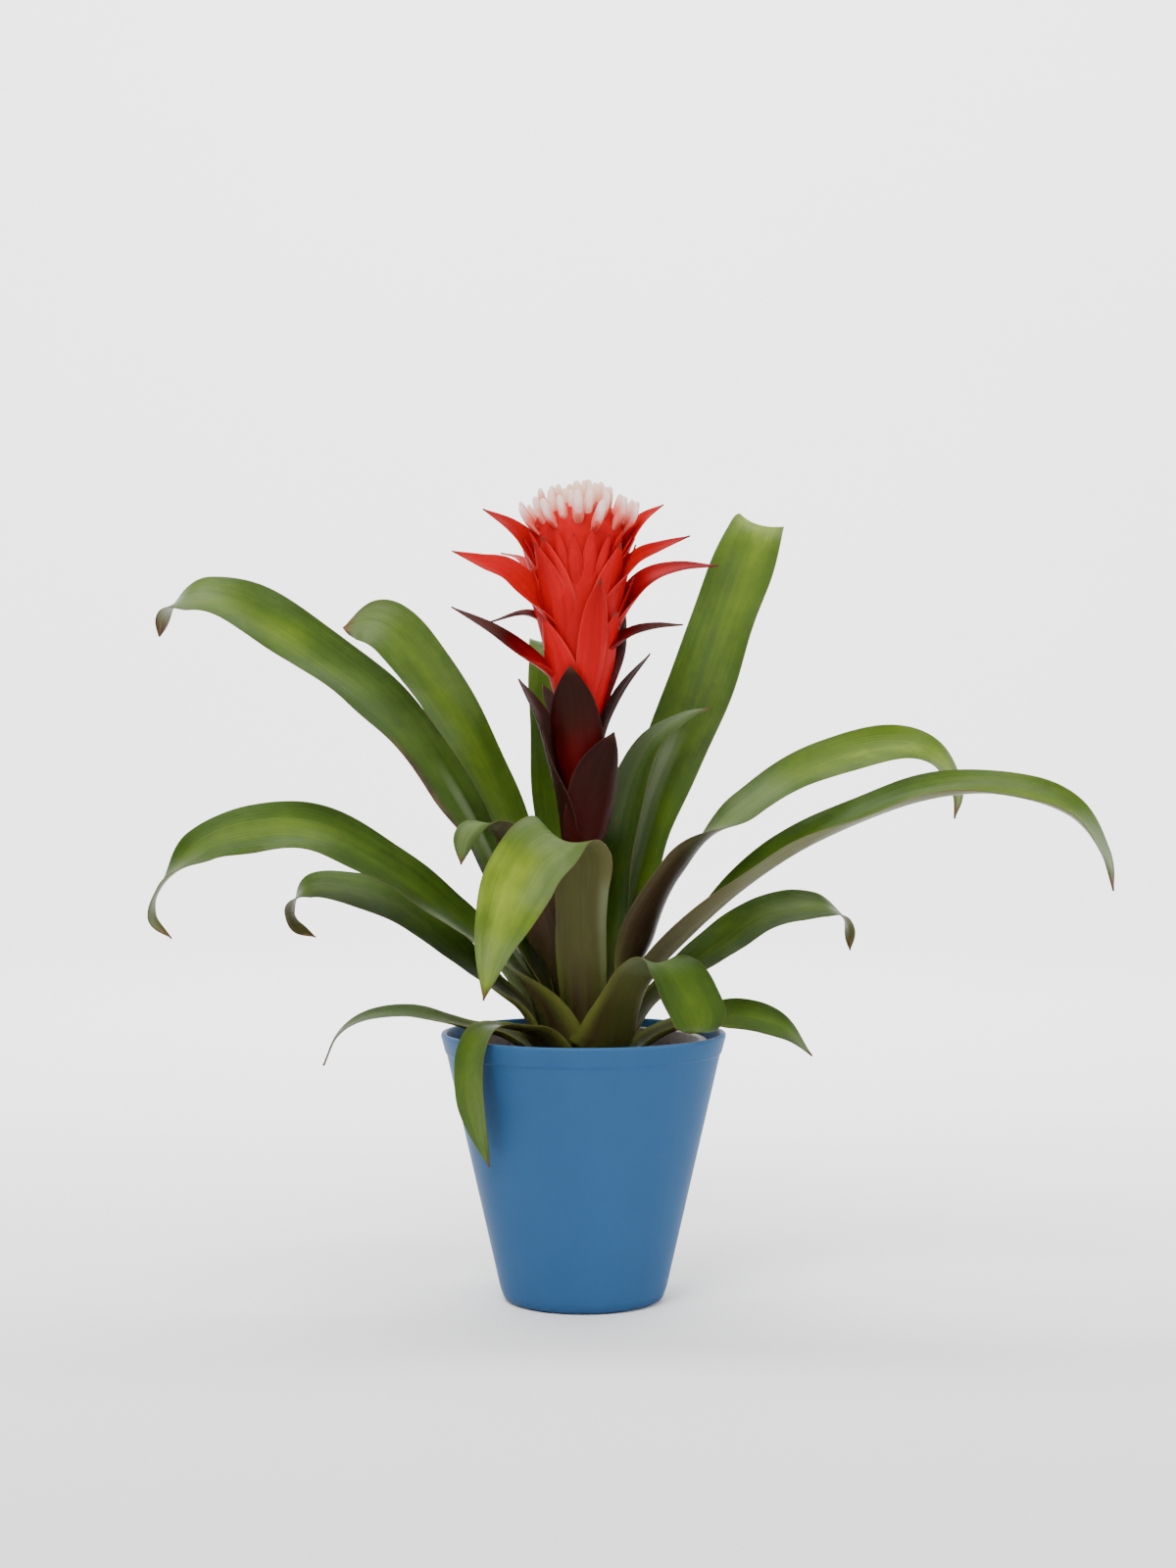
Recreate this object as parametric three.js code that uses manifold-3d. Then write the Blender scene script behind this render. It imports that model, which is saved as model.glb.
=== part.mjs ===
// A guzmania bromeliad in flower, in its grower's pot, standing in a tapered cover pot.
// Millimetres, +Z up, the origin at the middle of the cover pot's foot. The front is -Y and azimuth 0 is +X.
// Every leaf is a solid of its own, and the leaves stand sheath in sheath round the stem.
import * as THREE from "three";
import { mergeVertices } from "three/addons/utils/BufferGeometryUtils.js";
import Module from "manifold-3d";

const wasm = await Module();
wasm.setup();

// Pots and soil
const potRimRadius = 70;
const potFootRadius = 39.5;
const potHeight = 131;
const potWall = 3;
const potFootRound = 5;
const rimBandHeight = 10;
const rimBandStep = 0.5;
const potSegments = 48;
const growerRimRadius = 58;
const growerFootRadius = 35;
const growerTop = 127.5;
const growerWall = 1.2;
const growerLipWidth = 2.4;
const growerLipDepth = 6;
const growerSegments = 36;
const drainHoles = 5;
const drainHoleRadius = 4;
const drainHoleRing = 22;
const drainHoleSegments = 10;
const soilTop = 117;
const soilLump = 1.3;
const soilRings = 6;
const seatGap = 0.3;

// Stem: the short crown that the leaves stand on, and the flower stem, which leans a little to the left
const crownFoot = 86;
const crownFootRadius = 15;
const crownRadius = 29;
const crownTop = 129;
const scapeRadius = 5.5;
const stemLean = -0.0096;
const stemSegments = 20;

// Flower head, from the dark bracts up to the pale tips
const darkFoot = 205;
const redFoot = 268;
const redTop = 379;
const redFootRadius = 5.5;
const redTopRadius = 22;
const redRings = 8;
const tipsTop = 402;
const tipsRadius = 26;
const tipCount = 56;
const tipLength = 13;
const tipHalfWidth = 2.9;
const tipLean = 24;
const domeDrop = 10;
const goldenAngle = 137.508;

// Blades. Their stations stand closer together where they turn: a radian counts as turnPace millimetres.
const turnPace = 22;
const bladeThickness = 1;
const edgeThickness = 0.6;
const innermostRing = 9.6;
const ringPitch = 2.35;
const sheathLength = 50;
const neckWidth = 0.8;
const leafTipWidth = 0.7;
const leafStations = 15;
const leafFacetsAcross = 4;
const bractTaperFrom = 0.42;
const bractBluntness = 1.4;
const bractFootShare = 0.6;
const bractTipWidth = 0.6;
const bractGutter = [62, 50, 34, 24];
const bractStations = 7;
const bractFacetsAcross = 2;

// Each leaf has the ring its sheath stands in, counted outwards, half the angle that the sheath spans, the
// way it faces, its width, and its midrib as [reach, height] or [reach, height, sideways] in the upright
// plane that it grows in. Taper gives where it starts to narrow and how bluntly. Roll turns the blade about
// its midrib, and gutter is half the angle that its section bends through, both in degrees at even steps.
const leaves = [
  {
    name: "leaf_north",
    ring: 0,
    sheath: 50,
    azimuth: 100,
    width: 31,
    taper: [0.7, 1.8],
    roll: [0, 0, 0, 0],
    gutter: [32, 28, 20, 12],
    midrib: [
      [12, 155, 0], [18, 180, 3], [27, 206, 4], [36, 239, 5], [46, 270, 5], [56, 298, 4], [72, 320, 1],
      [94, 325], [116, 312], [130, 290],
    ],
  },
  {
    name: "leaf_southwest_inner",
    ring: 0,
    sheath: 50,
    azimuth: 203,
    width: 20,
    taper: [0.52, 1.3],
    roll: [0, 0, -20, -45, -45],
    gutter: [30, 24, 16, 10, 6],
    midrib: [[13, 152], [19, 176], [28, 202], [38, 224], [47, 232.5], [56, 233], [62, 226.5], [64, 214]],
  },
  {
    name: "leaf_south",
    ring: 1,
    sheath: 58,
    azimuth: 268,
    width: 34,
    taper: [0.7, 1.5],
    roll: [0, -4, -20, -30, -8, 0],
    gutter: [34, 30, 20, 12, 8, 6],
    midrib: [
      [16, 150, 1], [21, 178, 1], [27, 203, 1], [34, 219, 0], [42, 226, -9], [52, 221, -20], [62, 208, -28],
      [70, 192, -34], [76, 176, -39], [81, 154, -43],
    ],
  },
  {
    name: "leaf_east_inner",
    ring: 1,
    sheath: 50,
    azimuth: 37,
    width: 32,
    taper: [0.5, 1.5],
    roll: [0, 6, 8, 16, 20],
    gutter: [34, 40, 50, 46, 16],
    midrib: [[17, 150], [24, 180], [29, 213], [36, 243], [48, 272], [65, 286], [81, 291]],
  },
  {
    name: "leaf_northwest",
    ring: 1,
    sheath: 44,
    azimuth: 139,
    width: 30,
    taper: [0.82, 1.8],
    roll: [0, 10, -10, -36, -40],
    gutter: [32, 30, 24, 14, 8],
    midrib: [
      [15, 152], [30, 188, -0.5], [57, 238.5, -2], [85, 281.5, -1], [110, 312], [131, 331], [151, 338],
      [171, 335],
    ],
  },
  {
    name: "leaf_northeast_high",
    ring: 2,
    sheath: 56,
    azimuth: 53,
    width: 36,
    taper: [0.74, 2],
    roll: [0, 12, 26, 20, 20],
    gutter: [32, 30, 24, 14, 10],
    midrib: [
      [19.5, 150], [35, 185], [61, 242], [94, 290], [128, 345], [151, 383], [166, 392, 6], [178, 381, 18],
      [179, 358, 28],
    ],
  },
  {
    name: "leaf_west_high",
    ring: 2,
    sheath: 56,
    azimuth: 168,
    width: 34,
    taper: [0.84, 2],
    roll: [0, -14, -30, -34, -20],
    gutter: [32, 30, 22, 16, 14],
    midrib: [
      [21, 150], [33, 175.5], [56, 227.5], [95, 284], [134, 316.5], [172, 341], [200, 350], [220, 345],
      [227, 328],
    ],
  },
  {
    name: "leaf_east_high",
    ring: 3,
    sheath: 54,
    azimuth: 6,
    width: 25,
    taper: [0.82, 1.8],
    roll: [0, -50, -30, 25, 38, 36, 30],
    gutter: [36, 40, 30, 18, 14, 10],
    midrib: [
      [21, 150], [33, 186], [53, 217], [83, 242], [117, 262], [152, 271], [175, 267], [187, 250],
      [186, 235],
    ],
  },
  {
    name: "leaf_west",
    ring: 4,
    sheath: 58,
    azimuth: 197,
    width: 33,
    taper: [0.6, 1.5],
    roll: [0, -26, -44, -44, -30, 0],
    gutter: [34, 30, 22, 16, 12, 10],
    midrib: [
      [26, 147], [40, 166], [57, 182], [96, 211], [136, 231], [178, 228], [203, 209], [210, 192],
      [201, 181],
    ],
  },
  {
    name: "leaf_east_long",
    ring: 4,
    sheath: 48,
    azimuth: -8,
    width: 29,
    taper: [0.82, 2],
    roll: [0, 12, 16, 20, 16, 10],
    gutter: [38, 50, 50, 38, 24, 12],
    midrib: [
      [26, 148], [50, 176], [89, 210], [127, 232], [164, 246], [201, 250], [234, 240], [251, 220],
      [255, 202],
    ],
  },
  {
    name: "leaf_north_low",
    ring: 4,
    sheath: 44,
    azimuth: 93,
    width: 30,
    taper: [0.74, 1.8],
    roll: [0, 0, 0, 0],
    gutter: [34, 28, 20, 12],
    midrib: [[26, 150], [46, 186], [80, 222], [124, 242], [166, 236], [196, 208], [204, 178]],
  },
  {
    name: "leaf_southeast",
    ring: 5,
    sheath: 37,
    azimuth: 310,
    width: 29,
    taper: [0.88, 1.6],
    roll: [0, 0, -4, 20, 4],
    gutter: [34, 28, 14, 10, 8],
    midrib: [
      [26, 128], [32, 141, -2], [40, 154, -4], [47, 163, -4], [56, 168], [65, 162.5, 3.4], [71, 151, 7],
      [73, 143, 10], [71.5, 137.5, 11], [65, 135, 11],
    ],
  },
  {
    name: "leaf_east_low",
    ring: 5,
    sheath: 30,
    azimuth: 20,
    width: 20,
    taper: [0.55, 1.6],
    roll: [0, 24, 40, 30, 10],
    gutter: [34, 30, 22, 14, 10],
    midrib: [[34, 142], [49, 155], [65, 167], [97, 186], [126, 190], [142, 183], [145, 167]],
  },
  {
    name: "leaf_west_low",
    ring: 5,
    sheath: 44,
    azimuth: 178,
    width: 27,
    taper: [0.8, 1.5],
    roll: [0, -24, -34, -34, -60],
    gutter: [34, 30, 22, 14, 10],
    midrib: [
      [30, 140], [43, 152], [75, 180], [100, 196], [122, 202], [136, 201], [144, 192], [142, 183],
      [132, 177],
    ],
  },
  {
    name: "leaf_southwest_low",
    ring: 6,
    sheath: 38,
    azimuth: 225,
    width: 20,
    taper: [0.72, 1.6],
    roll: [0, 0, 0, 0, 0],
    gutter: [34, 26, 16, 12, 10],
    midrib: [
      [35, 132], [48, 136], [59, 138], [68, 136], [74, 126], [75, 113], [73.5, 101], [69, 86], [63, 72],
    ],
  },
  {
    name: "leaf_northeast_low",
    ring: 6,
    sheath: 26,
    azimuth: 75,
    width: 28,
    taper: [0.74, 1.8],
    roll: [0, 0, 0, 0],
    gutter: [34, 28, 20, 12],
    midrib: [[36, 148], [60, 175], [90, 205], [125, 226], [155, 228], [173, 216], [180, 198]],
  },
  {
    name: "leaf_northwest_low",
    ring: 6,
    sheath: 26,
    azimuth: 130,
    width: 26,
    taper: [0.74, 1.8],
    roll: [0, 0, 0, 0],
    gutter: [34, 28, 20, 12],
    midrib: [[36, 138], [60, 160], [100, 180], [140, 199], [165, 199], [180, 191]],
  },
  {
    name: "leaf_west_thin",
    ring: 7,
    sheath: 36,
    azimuth: 172,
    width: 15,
    taper: [0.6, 1.3],
    roll: [0, 0, -6, -6, 0],
    gutter: [34, 30, 24, 18, 12],
    midrib: [[40, 128], [56, 132], [70, 136], [88, 139], [110, 135], [125, 126], [131, 112]],
  },
  {
    name: "leaf_east_bottom",
    ring: 7,
    sheath: 36,
    azimuth: 8,
    width: 20,
    taper: [0.66, 1.8],
    roll: [0, 10, 24, 24, 20],
    gutter: [34, 30, 22, 14, 10],
    midrib: [[40, 129], [58, 135], [80, 137], [100, 131], [115, 117]],
  },
];

// Bracts are written as leaves are, with one roll each. The dark ones clasp the stem below the head.
const darkBracts = [
  {
    azimuth: 300,
    width: 30,
    roll: 0,
    midrib: [[5, 206], [9, 222, -1], [13, 240], [16, 256, 1], [22, 278, 6]],
  },
  {
    azimuth: 195,
    width: 25,
    roll: -30,
    midrib: [[5, 206], [9, 224], [13, 250], [20, 281], [31, 304]],
  },
  {
    azimuth: 75,
    width: 24,
    roll: 0,
    midrib: [[5, 206], [10, 222], [15, 240], [21, 268], [30, 286]],
  },
  {
    azimuth: 15,
    width: 18,
    roll: 0,
    midrib: [[4, 248], [9, 266], [14, 283], [23, 300], [36, 317]],
  },
  {
    azimuth: 257,
    width: 28,
    roll: 0,
    midrib: [[4, 240], [9, 264], [15, 285], [19, 299], [21, 310]],
  },
  {
    azimuth: 130,
    width: 20,
    roll: 0,
    midrib: [[4, 238], [9, 262], [16, 284], [29, 302]],
  },
];

// The red bracts that spread out from the head.
const spreadingBracts = [
  {
    azimuth: 188,
    width: 17,
    roll: -35,
    midrib: [[5, 280], [9, 294], [15, 305], [27, 315], [44, 328], [63, 339]],
  },
  {
    azimuth: 345,
    width: 17,
    roll: 25,
    midrib: [[5, 282], [9, 302], [15, 316], [25, 325], [38, 329], [52, 330]],
  },
  {
    azimuth: 105,
    width: 17,
    roll: 0,
    midrib: [[5, 280], [12, 303], [21, 320], [38, 334], [58, 339]],
  },
  {
    azimuth: 172,
    width: 15,
    roll: -15,
    midrib: [[6, 296], [11, 314], [16, 329], [27, 336], [46, 332]],
  },
  {
    azimuth: 38,
    width: 18,
    roll: 0,
    midrib: [[7, 278], [14, 292], [20, 305], [26, 320], [29, 339]],
  },
  {
    azimuth: 200,
    width: 21,
    roll: -60,
    midrib: [[7, 298], [13, 320], [21, 339], [36, 355], [50, 360], [65, 365]],
  },
  {
    azimuth: 5,
    width: 18,
    roll: 35,
    midrib: [[9, 300], [16, 321], [24, 340], [34, 353], [50, 359], [69, 360]],
  },
  {
    azimuth: 288,
    width: 20,
    roll: 0,
    midrib: [[9, 288], [16, 308], [21, 326], [26, 340], [33, 350]],
  },
  {
    azimuth: 70,
    width: 18,
    roll: 0,
    midrib: [[8, 298], [15, 322], [23, 342], [40, 356], [60, 360]],
  },
  {
    azimuth: 335,
    width: 19,
    roll: 45,
    midrib: [[9, 305], [14, 327], [20, 347], [31, 361], [44, 367], [59, 372]],
  },
  {
    azimuth: 135,
    width: 18,
    roll: 0,
    midrib: [[10, 310], [18, 335], [27, 352], [42, 365], [56, 369]],
  },
  {
    azimuth: 230,
    width: 20,
    roll: 0,
    midrib: [[12, 312], [19, 335], [25, 354], [33, 369]],
  },
  {
    azimuth: 25,
    width: 16,
    roll: 0,
    midrib: [[12, 322], [18, 344], [26, 360], [40, 371]],
  },
  {
    azimuth: 186,
    width: 19,
    roll: -45,
    midrib: [[14, 326], [18, 346], [24, 367], [33, 378], [47, 387]],
  },
  {
    azimuth: 95,
    width: 18,
    roll: 0,
    midrib: [[14, 325], [19, 347], [25, 365], [35, 379], [46, 386]],
  },
  {
    azimuth: 352,
    width: 18,
    roll: 45,
    midrib: [[14, 332], [18, 352], [24, 371], [32, 382], [42, 389]],
  },
];

// The red bracts that stay closed round the head are placed by rule. Their stand is how far their midrib
// lies off the red body, at given shares of their length.
const closedBractCount = 14;
const closedBractLength = 52;
const closedBractWidth = 19;
const closedBractStart = 275;
const closedBractRise = 3.9;
const closedBractFirst = 20;
const closedBractStand = [
  [0, -1],
  [0.35, 0.5],
  [0.7, 2],
  [1, 7],
];

// Small helpers
const radians = THREE.MathUtils.degToRad;
const mix = (a, b, t) => a + (b - a) * t;
const smooth = (t) => THREE.MathUtils.smoothstep(t, 0, 1);

// The value at t, from 0 to 1, of a list of numbers that stand at even steps.
function along(values, t) {
  const at = Math.min(t, 1) * (values.length - 1);
  const i = Math.min(Math.floor(at), values.length - 2);
  return mix(values[i], values[i + 1], smooth(at - i));
}

// Turns a geometry into a closed solid that faces out.
function toSolid(geometry) {
  geometry.deleteAttribute("normal");
  geometry.deleteAttribute("uv");
  const merged = mergeVertices(geometry, 1e-4);
  const vertProperties = merged.attributes.position.array;
  const triVerts = new Uint32Array(merged.index.array);
  const solid = new wasm.Manifold(new wasm.Mesh({ numProp: 3, vertProperties, triVerts }));
  if (solid.volume() > 0) return solid;
  for (let i = 0; i < triVerts.length; i += 3) {
    [triVerts[i + 1], triVerts[i + 2]] = [triVerts[i + 2], triVerts[i + 1]];
  }
  return new wasm.Manifold(new wasm.Mesh({ numProp: 3, vertProperties, triVerts }));
}

function toGeometry(solid) {
  const mesh = solid.getMesh();
  const positions = new Float32Array(mesh.numVert * 3);
  for (let i = 0; i < mesh.numVert; i++) {
    positions.set(mesh.vertProperties.subarray(i * mesh.numProp, i * mesh.numProp + 3), i * 3);
  }
  const geometry = new THREE.BufferGeometry();
  geometry.setAttribute("position", new THREE.BufferAttribute(positions, 3));
  geometry.setIndex(new THREE.BufferAttribute(new Uint32Array(mesh.triVerts), 1));
  return geometry;
}

// A solid through rings of points, with the first and the last ring filled. The first half of each ring is
// the upper face and the second half is the lower one, and both are split into triangles alike.
function ringSolid(rings) {
  const count = rings[0].length;
  const index = [];
  for (let i = 0; i < rings.length - 1; i++) {
    for (let j = 0; j < count; j++) {
      const a = i * count + j;
      const b = i * count + ((j + 1) % count);
      if (j < count / 2) index.push(a, b, b + count, a, b + count, a + count);
      else index.push(a, b, a + count, b, b + count, a + count);
    }
  }
  const last = (rings.length - 1) * count;
  for (let j = 1; j < count / 2; j++) {
    const across = count - 1 - j;
    index.push(j - 1, across, j, j - 1, across + 1, across);
    index.push(last + j - 1, last + j, last + across, last + j - 1, last + across, last + across + 1);
  }
  const geometry = new THREE.BufferGeometry().setFromPoints(rings.flat());
  geometry.setIndex(index);
  return toSolid(geometry);
}

// A solid turned about the upright axis, from an outline that starts and ends on it.
function turned(outline, segments, curveSteps = 3) {
  return toSolid(new THREE.LatheGeometry(outline.getPoints(curveSteps), segments).rotateX(Math.PI / 2));
}

// A thin blade: an arc swept along a midrib, with its hollow side towards the stem. A clearance makes it
// thicker and wider all round.
function blade({ azimuth, midrib, halfWidth, halfAngle, roll, stations, across, clearance = 0 }) {
  const out = new THREE.Vector3(Math.cos(radians(azimuth)), Math.sin(radians(azimuth)), 0);
  const side = new THREE.Vector3(-out.y, out.x, 0);
  const points = midrib.map(([reach, height, sideways = 0]) =>
    out.clone().multiplyScalar(reach).addScaledVector(side, sideways).setZ(height),
  );
  const line = new THREE.CatmullRomCurve3(points, false, "catmullrom", 0.5).getPoints(40 * points.length);
  const end = line.length - 1;
  const distance = [0];
  const pace = [0];
  for (let i = 1; i <= end; i++) {
    const step = line[i].clone().sub(line[i - 1]);
    const next = line[Math.min(i + 1, end)].clone().sub(line[Math.min(i, end - 1)]);
    distance.push(distance[i - 1] + step.length());
    pace.push(pace[i - 1] + step.length() + turnPace * step.angleTo(next));
  }
  const length = distance[end];
  const rings = [];
  for (let s = 0, i = 1; s <= stations; s++) {
    const target = (pace[end] * s) / stations;
    while (i < end && pace[i] < target) i++;
    const share = THREE.MathUtils.clamp((target - pace[i - 1]) / (pace[i] - pace[i - 1]), 0, 1);
    const middle = line[i - 1].clone().lerp(line[i], share);
    const t = mix(distance[i - 1], distance[i], share) / length;
    const tangent = line[Math.min(i + 1, end)].clone().sub(line[Math.max(i - 2, 0)]).normalize();
    const flat = side.clone().addScaledVector(tangent, -side.dot(tangent)).normalize();
    const inward = tangent.clone().cross(flat);
    const turn = radians(roll(t, length));
    const sideAxis = flat.clone().multiplyScalar(Math.cos(turn)).addScaledVector(inward, Math.sin(turn));
    const inAxis = inward.multiplyScalar(Math.cos(turn)).addScaledVector(flat, -Math.sin(turn));
    const angle = radians(halfAngle(t, length));
    const radius = (halfWidth(t, length) + clearance) / angle;
    const row = (offset) =>
      Array.from({ length: across + 1 }, (_, k) => {
        const u = (2 * k) / across - 1;
        const r = radius + offset * (mix(bladeThickness, edgeThickness, u * u) / 2 + clearance);
        return middle
          .clone()
          .addScaledVector(sideAxis, r * Math.sin(u * angle))
          .addScaledVector(inAxis, radius - r * Math.cos(u * angle));
      });
    rings.push([...row(-1), ...row(1).reverse()]);
  }
  return ringSolid(rings);
}

// The crown narrows to the flower stem, and the leaf sheaths stand on its cone.
const crownHeight = (radius) => mix(soilTop, crownTop, (crownRadius - radius) / (crownRadius - scapeRadius));

function leafSolid(leaf) {
  const ringRadius = innermostRing + ringPitch * leaf.ring;
  const foot = crownHeight(ringRadius - bladeThickness) + seatGap;
  const [taperFrom, bluntness] = leaf.taper;
  const sheathHalf = ringRadius * radians(leaf.sheath);
  return blade({
    azimuth: leaf.azimuth,
    midrib: [[ringRadius, foot], ...leaf.midrib],
    halfWidth: (t, length) => {
      const past = Math.max((t - taperFrom) / (1 - taperFrom), 0);
      const neck = mix(neckWidth, 1, smooth((t - 0.15) / 0.4));
      const free = Math.max((leaf.width / 2) * neck * (1 - past ** bluntness), leafTipWidth);
      return mix(sheathHalf, free, smooth((t * length) / sheathLength));
    },
    halfAngle: (t, length) => mix(leaf.sheath, along(leaf.gutter, t), smooth((t * length) / sheathLength)),
    roll: (t, length) => along(leaf.roll, t) * smooth((t * length) / sheathLength - 0.2),
    stations: leafStations,
    across: leafFacetsAcross,
  });
}

function bractSolid({ azimuth, width, roll, midrib }, clearance = 0) {
  return blade({
    azimuth,
    midrib,
    halfWidth: (t) => {
      const past = Math.max((t - bractTaperFrom) / (1 - bractTaperFrom), 0);
      const shoulder = mix(bractFootShare, 1, smooth(t / bractTaperFrom));
      return Math.max((width / 2) * shoulder * (1 - past ** bractBluntness), bractTipWidth);
    },
    halfAngle: (t) => along(bractGutter, t),
    roll: (t) => roll * smooth(t * 2 - 0.3),
    stations: bractStations,
    across: bractFacetsAcross,
    clearance,
  });
}

// The red body under the bracts swells from the stem to the pale tips.
const bodyRadius = (height) =>
  mix(redFootRadius, redTopRadius, Math.sin((Math.PI / 2) * ((height - redFoot) / (redTop - redFoot))));

function closedBract(i) {
  const foot = closedBractStart + closedBractRise * i;
  const midrib = closedBractStand.map(([share, stand]) => {
    const height = foot + closedBractLength * share;
    return [bodyRadius(height) + stand, height];
  });
  const azimuth = closedBractFirst + goldenAngle * i;
  return bractSolid({ azimuth, width: closedBractWidth, roll: 0, midrib });
}

// One pale tip: a pointed oval, upright at the middle of the dome and leaning out at its rim.
function paleTip(i) {
  const share = Math.sqrt((i + 0.5) / tipCount);
  const outline = new THREE.Path();
  outline.moveTo(0, -tipLength / 2);
  outline.lineTo(tipHalfWidth * 0.6, -tipLength * 0.4);
  outline.lineTo(tipHalfWidth, 0);
  outline.lineTo(tipHalfWidth * 0.7, tipLength * 0.3);
  outline.lineTo(0, tipLength / 2);
  const geometry = new THREE.LatheGeometry(outline.getPoints(), 5).rotateX(Math.PI / 2);
  const drop = domeDrop * share ** 2.2;
  geometry.rotateY(radians(tipLean * share));
  geometry.translate(tipsRadius * share, 0, tipsTop - drop - tipLength / 2);
  geometry.rotateZ(radians(goldenAngle * i));
  return toSolid(geometry);
}

// Leans the flower stem and what stands on it to one side.
function leant(geometry) {
  const position = geometry.attributes.position;
  for (let i = 0; i < position.count; i++) {
    const above = Math.max(position.getZ(i) - crownTop, 0);
    position.setX(i, position.getX(i) + stemLean * above);
  }
  return geometry;
}

const united = (solids) => solids.reduce((sum, solid) => sum.add(solid));

const potRadius = (height) => mix(potFootRadius, potRimRadius, height / potHeight);
const growerRadius = (height) =>
  mix(growerFootRadius, growerRimRadius, (height - potWall) / (growerTop - potWall));

function coverPot() {
  const band = potHeight - rimBandHeight;
  const inside = potRimRadius - potWall;
  const outline = new THREE.Path();
  outline.moveTo(0, 0);
  outline.lineTo(potFootRadius - potFootRound, 0);
  outline.quadraticCurveTo(potFootRadius, 0, potRadius(potFootRound), potFootRound);
  outline.lineTo(potRadius(band) - rimBandStep, band);
  outline.lineTo(potRadius(band + rimBandStep), band + rimBandStep);
  outline.lineTo(potRimRadius, potHeight - potWall / 2);
  outline.quadraticCurveTo(potRimRadius, potHeight, potRimRadius - potWall / 2, potHeight);
  outline.quadraticCurveTo(inside, potHeight, inside, potHeight - potWall / 2);
  outline.lineTo(potRadius(potWall) - potWall, potWall);
  outline.lineTo(0, potWall);
  return turned(outline, potSegments, 2);
}

function growerPot() {
  const foot = potWall + seatGap;
  const lipFoot = growerTop - growerLipDepth;
  const outline = new THREE.Path();
  outline.moveTo(0, foot);
  outline.lineTo(growerRadius(foot), foot);
  outline.lineTo(growerRadius(lipFoot), lipFoot);
  outline.lineTo(growerRadius(lipFoot) + growerLipWidth, lipFoot);
  outline.lineTo(growerRimRadius + growerLipWidth, growerTop);
  outline.lineTo(growerRimRadius - growerWall, growerTop);
  outline.lineTo(growerRadius(foot + growerWall) - growerWall, foot + growerWall);
  outline.lineTo(0, foot + growerWall);
  const hole = (i) => {
    const radius = drainHoleRadius;
    const cutter = new THREE.CylinderGeometry(radius, radius, 3 * growerWall, drainHoleSegments);
    cutter.rotateX(Math.PI / 2).translate(drainHoleRing, 0, foot + growerWall / 2);
    return toSolid(cutter.rotateZ((2 * Math.PI * i) / drainHoles));
  };
  const holes = Array.from({ length: drainHoles }, (_, i) => hole(i));
  return turned(outline, growerSegments).subtract(united(holes));
}

// The outline of the part of the crown that stands in the soil, with a clearance all round.
function crownOutline(clearance) {
  const outline = new THREE.Path();
  outline.moveTo(0, crownFoot - clearance);
  outline.lineTo(crownFootRadius + clearance, crownFoot - clearance);
  outline.lineTo(crownRadius + clearance, soilTop);
  return outline;
}

function soil() {
  const foot = potWall + 2 * seatGap + growerWall;
  const radius = (height) => growerRadius(height) - growerWall - seatGap;
  const outline = new THREE.Path();
  outline.moveTo(0, foot);
  outline.lineTo(radius(foot), foot);
  outline.lineTo(radius(soilTop), soilTop);
  for (let i = 1; i < soilRings; i++) {
    outline.lineTo(mix(radius(soilTop), crownRadius + seatGap, i / soilRings), soilTop);
  }
  outline.lineTo(crownRadius + seatGap, soilTop);
  outline.lineTo(crownFootRadius + seatGap, crownFoot - seatGap);
  outline.lineTo(0, crownFoot - seatGap);
  const geometry = new THREE.LatheGeometry(outline.getPoints(), growerSegments).rotateX(Math.PI / 2);
  const position = geometry.attributes.position;
  for (let i = 0; i < position.count; i++) {
    const x = position.getX(i);
    const y = position.getY(i);
    const reach = Math.hypot(x, y);
    const inside = reach > crownRadius + 1 && reach < radius(soilTop) - 1;
    if (!inside || position.getZ(i) < soilTop - 1) continue;
    const lump = Math.sin(x * 0.41 + 2) * Math.cos(y * 0.37) + Math.sin(x * 0.9 - y * 0.7);
    position.setZ(i, soilTop + soilLump * lump);
  }
  return toSolid(geometry);
}

function stem() {
  const outline = crownOutline(0);
  outline.lineTo(scapeRadius, crownTop);
  outline.lineTo(scapeRadius, mix(crownTop, darkFoot, 0.5));
  outline.lineTo(scapeRadius, darkFoot - seatGap);
  outline.lineTo(0, darkFoot - seatGap);
  return turned(outline, stemSegments);
}

function darkBractCluster() {
  const outline = new THREE.Path();
  outline.moveTo(0, darkFoot);
  outline.lineTo(scapeRadius, darkFoot);
  outline.lineTo(scapeRadius, redFoot - seatGap);
  outline.lineTo(0, redFoot - seatGap);
  return united([turned(outline, stemSegments), ...darkBracts.map((bract) => bractSolid(bract))]);
}

function redBractCluster() {
  const outline = new THREE.Path();
  outline.moveTo(0, redFoot);
  for (let i = 0; i <= redRings; i++) {
    const height = mix(redFoot, redTop, i / redRings);
    outline.lineTo(bodyRadius(height), height);
  }
  outline.lineTo(0, redTop);
  const closed = Array.from({ length: closedBractCount }, (_, i) => closedBract(i));
  const spreading = spreadingBracts.map((bract) => bractSolid(bract));
  const head = united([turned(outline, stemSegments), ...spreading, ...closed]);
  const room = united(darkBracts.map((bract) => bractSolid(bract, seatGap)));
  return head.subtract(room).decompose()[0];
}

function paleTipCluster() {
  const foot = redTop + seatGap;
  const outline = new THREE.Path();
  outline.moveTo(0, foot);
  outline.lineTo(0.5 * tipsRadius, foot);
  outline.lineTo(tipsRadius - 1, foot + 7);
  outline.lineTo(0.6 * tipsRadius, tipsTop - 10);
  outline.lineTo(0, tipsTop - 7);
  const tips = Array.from({ length: tipCount }, (_, i) => paleTip(i));
  const block = 4 * tipsRadius;
  const floor = toSolid(new THREE.BoxGeometry(block, block, block).translate(0, 0, foot - block / 2));
  return united([turned(outline, stemSegments), ...tips]).subtract(floor);
}

const group = new THREE.Group();

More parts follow.
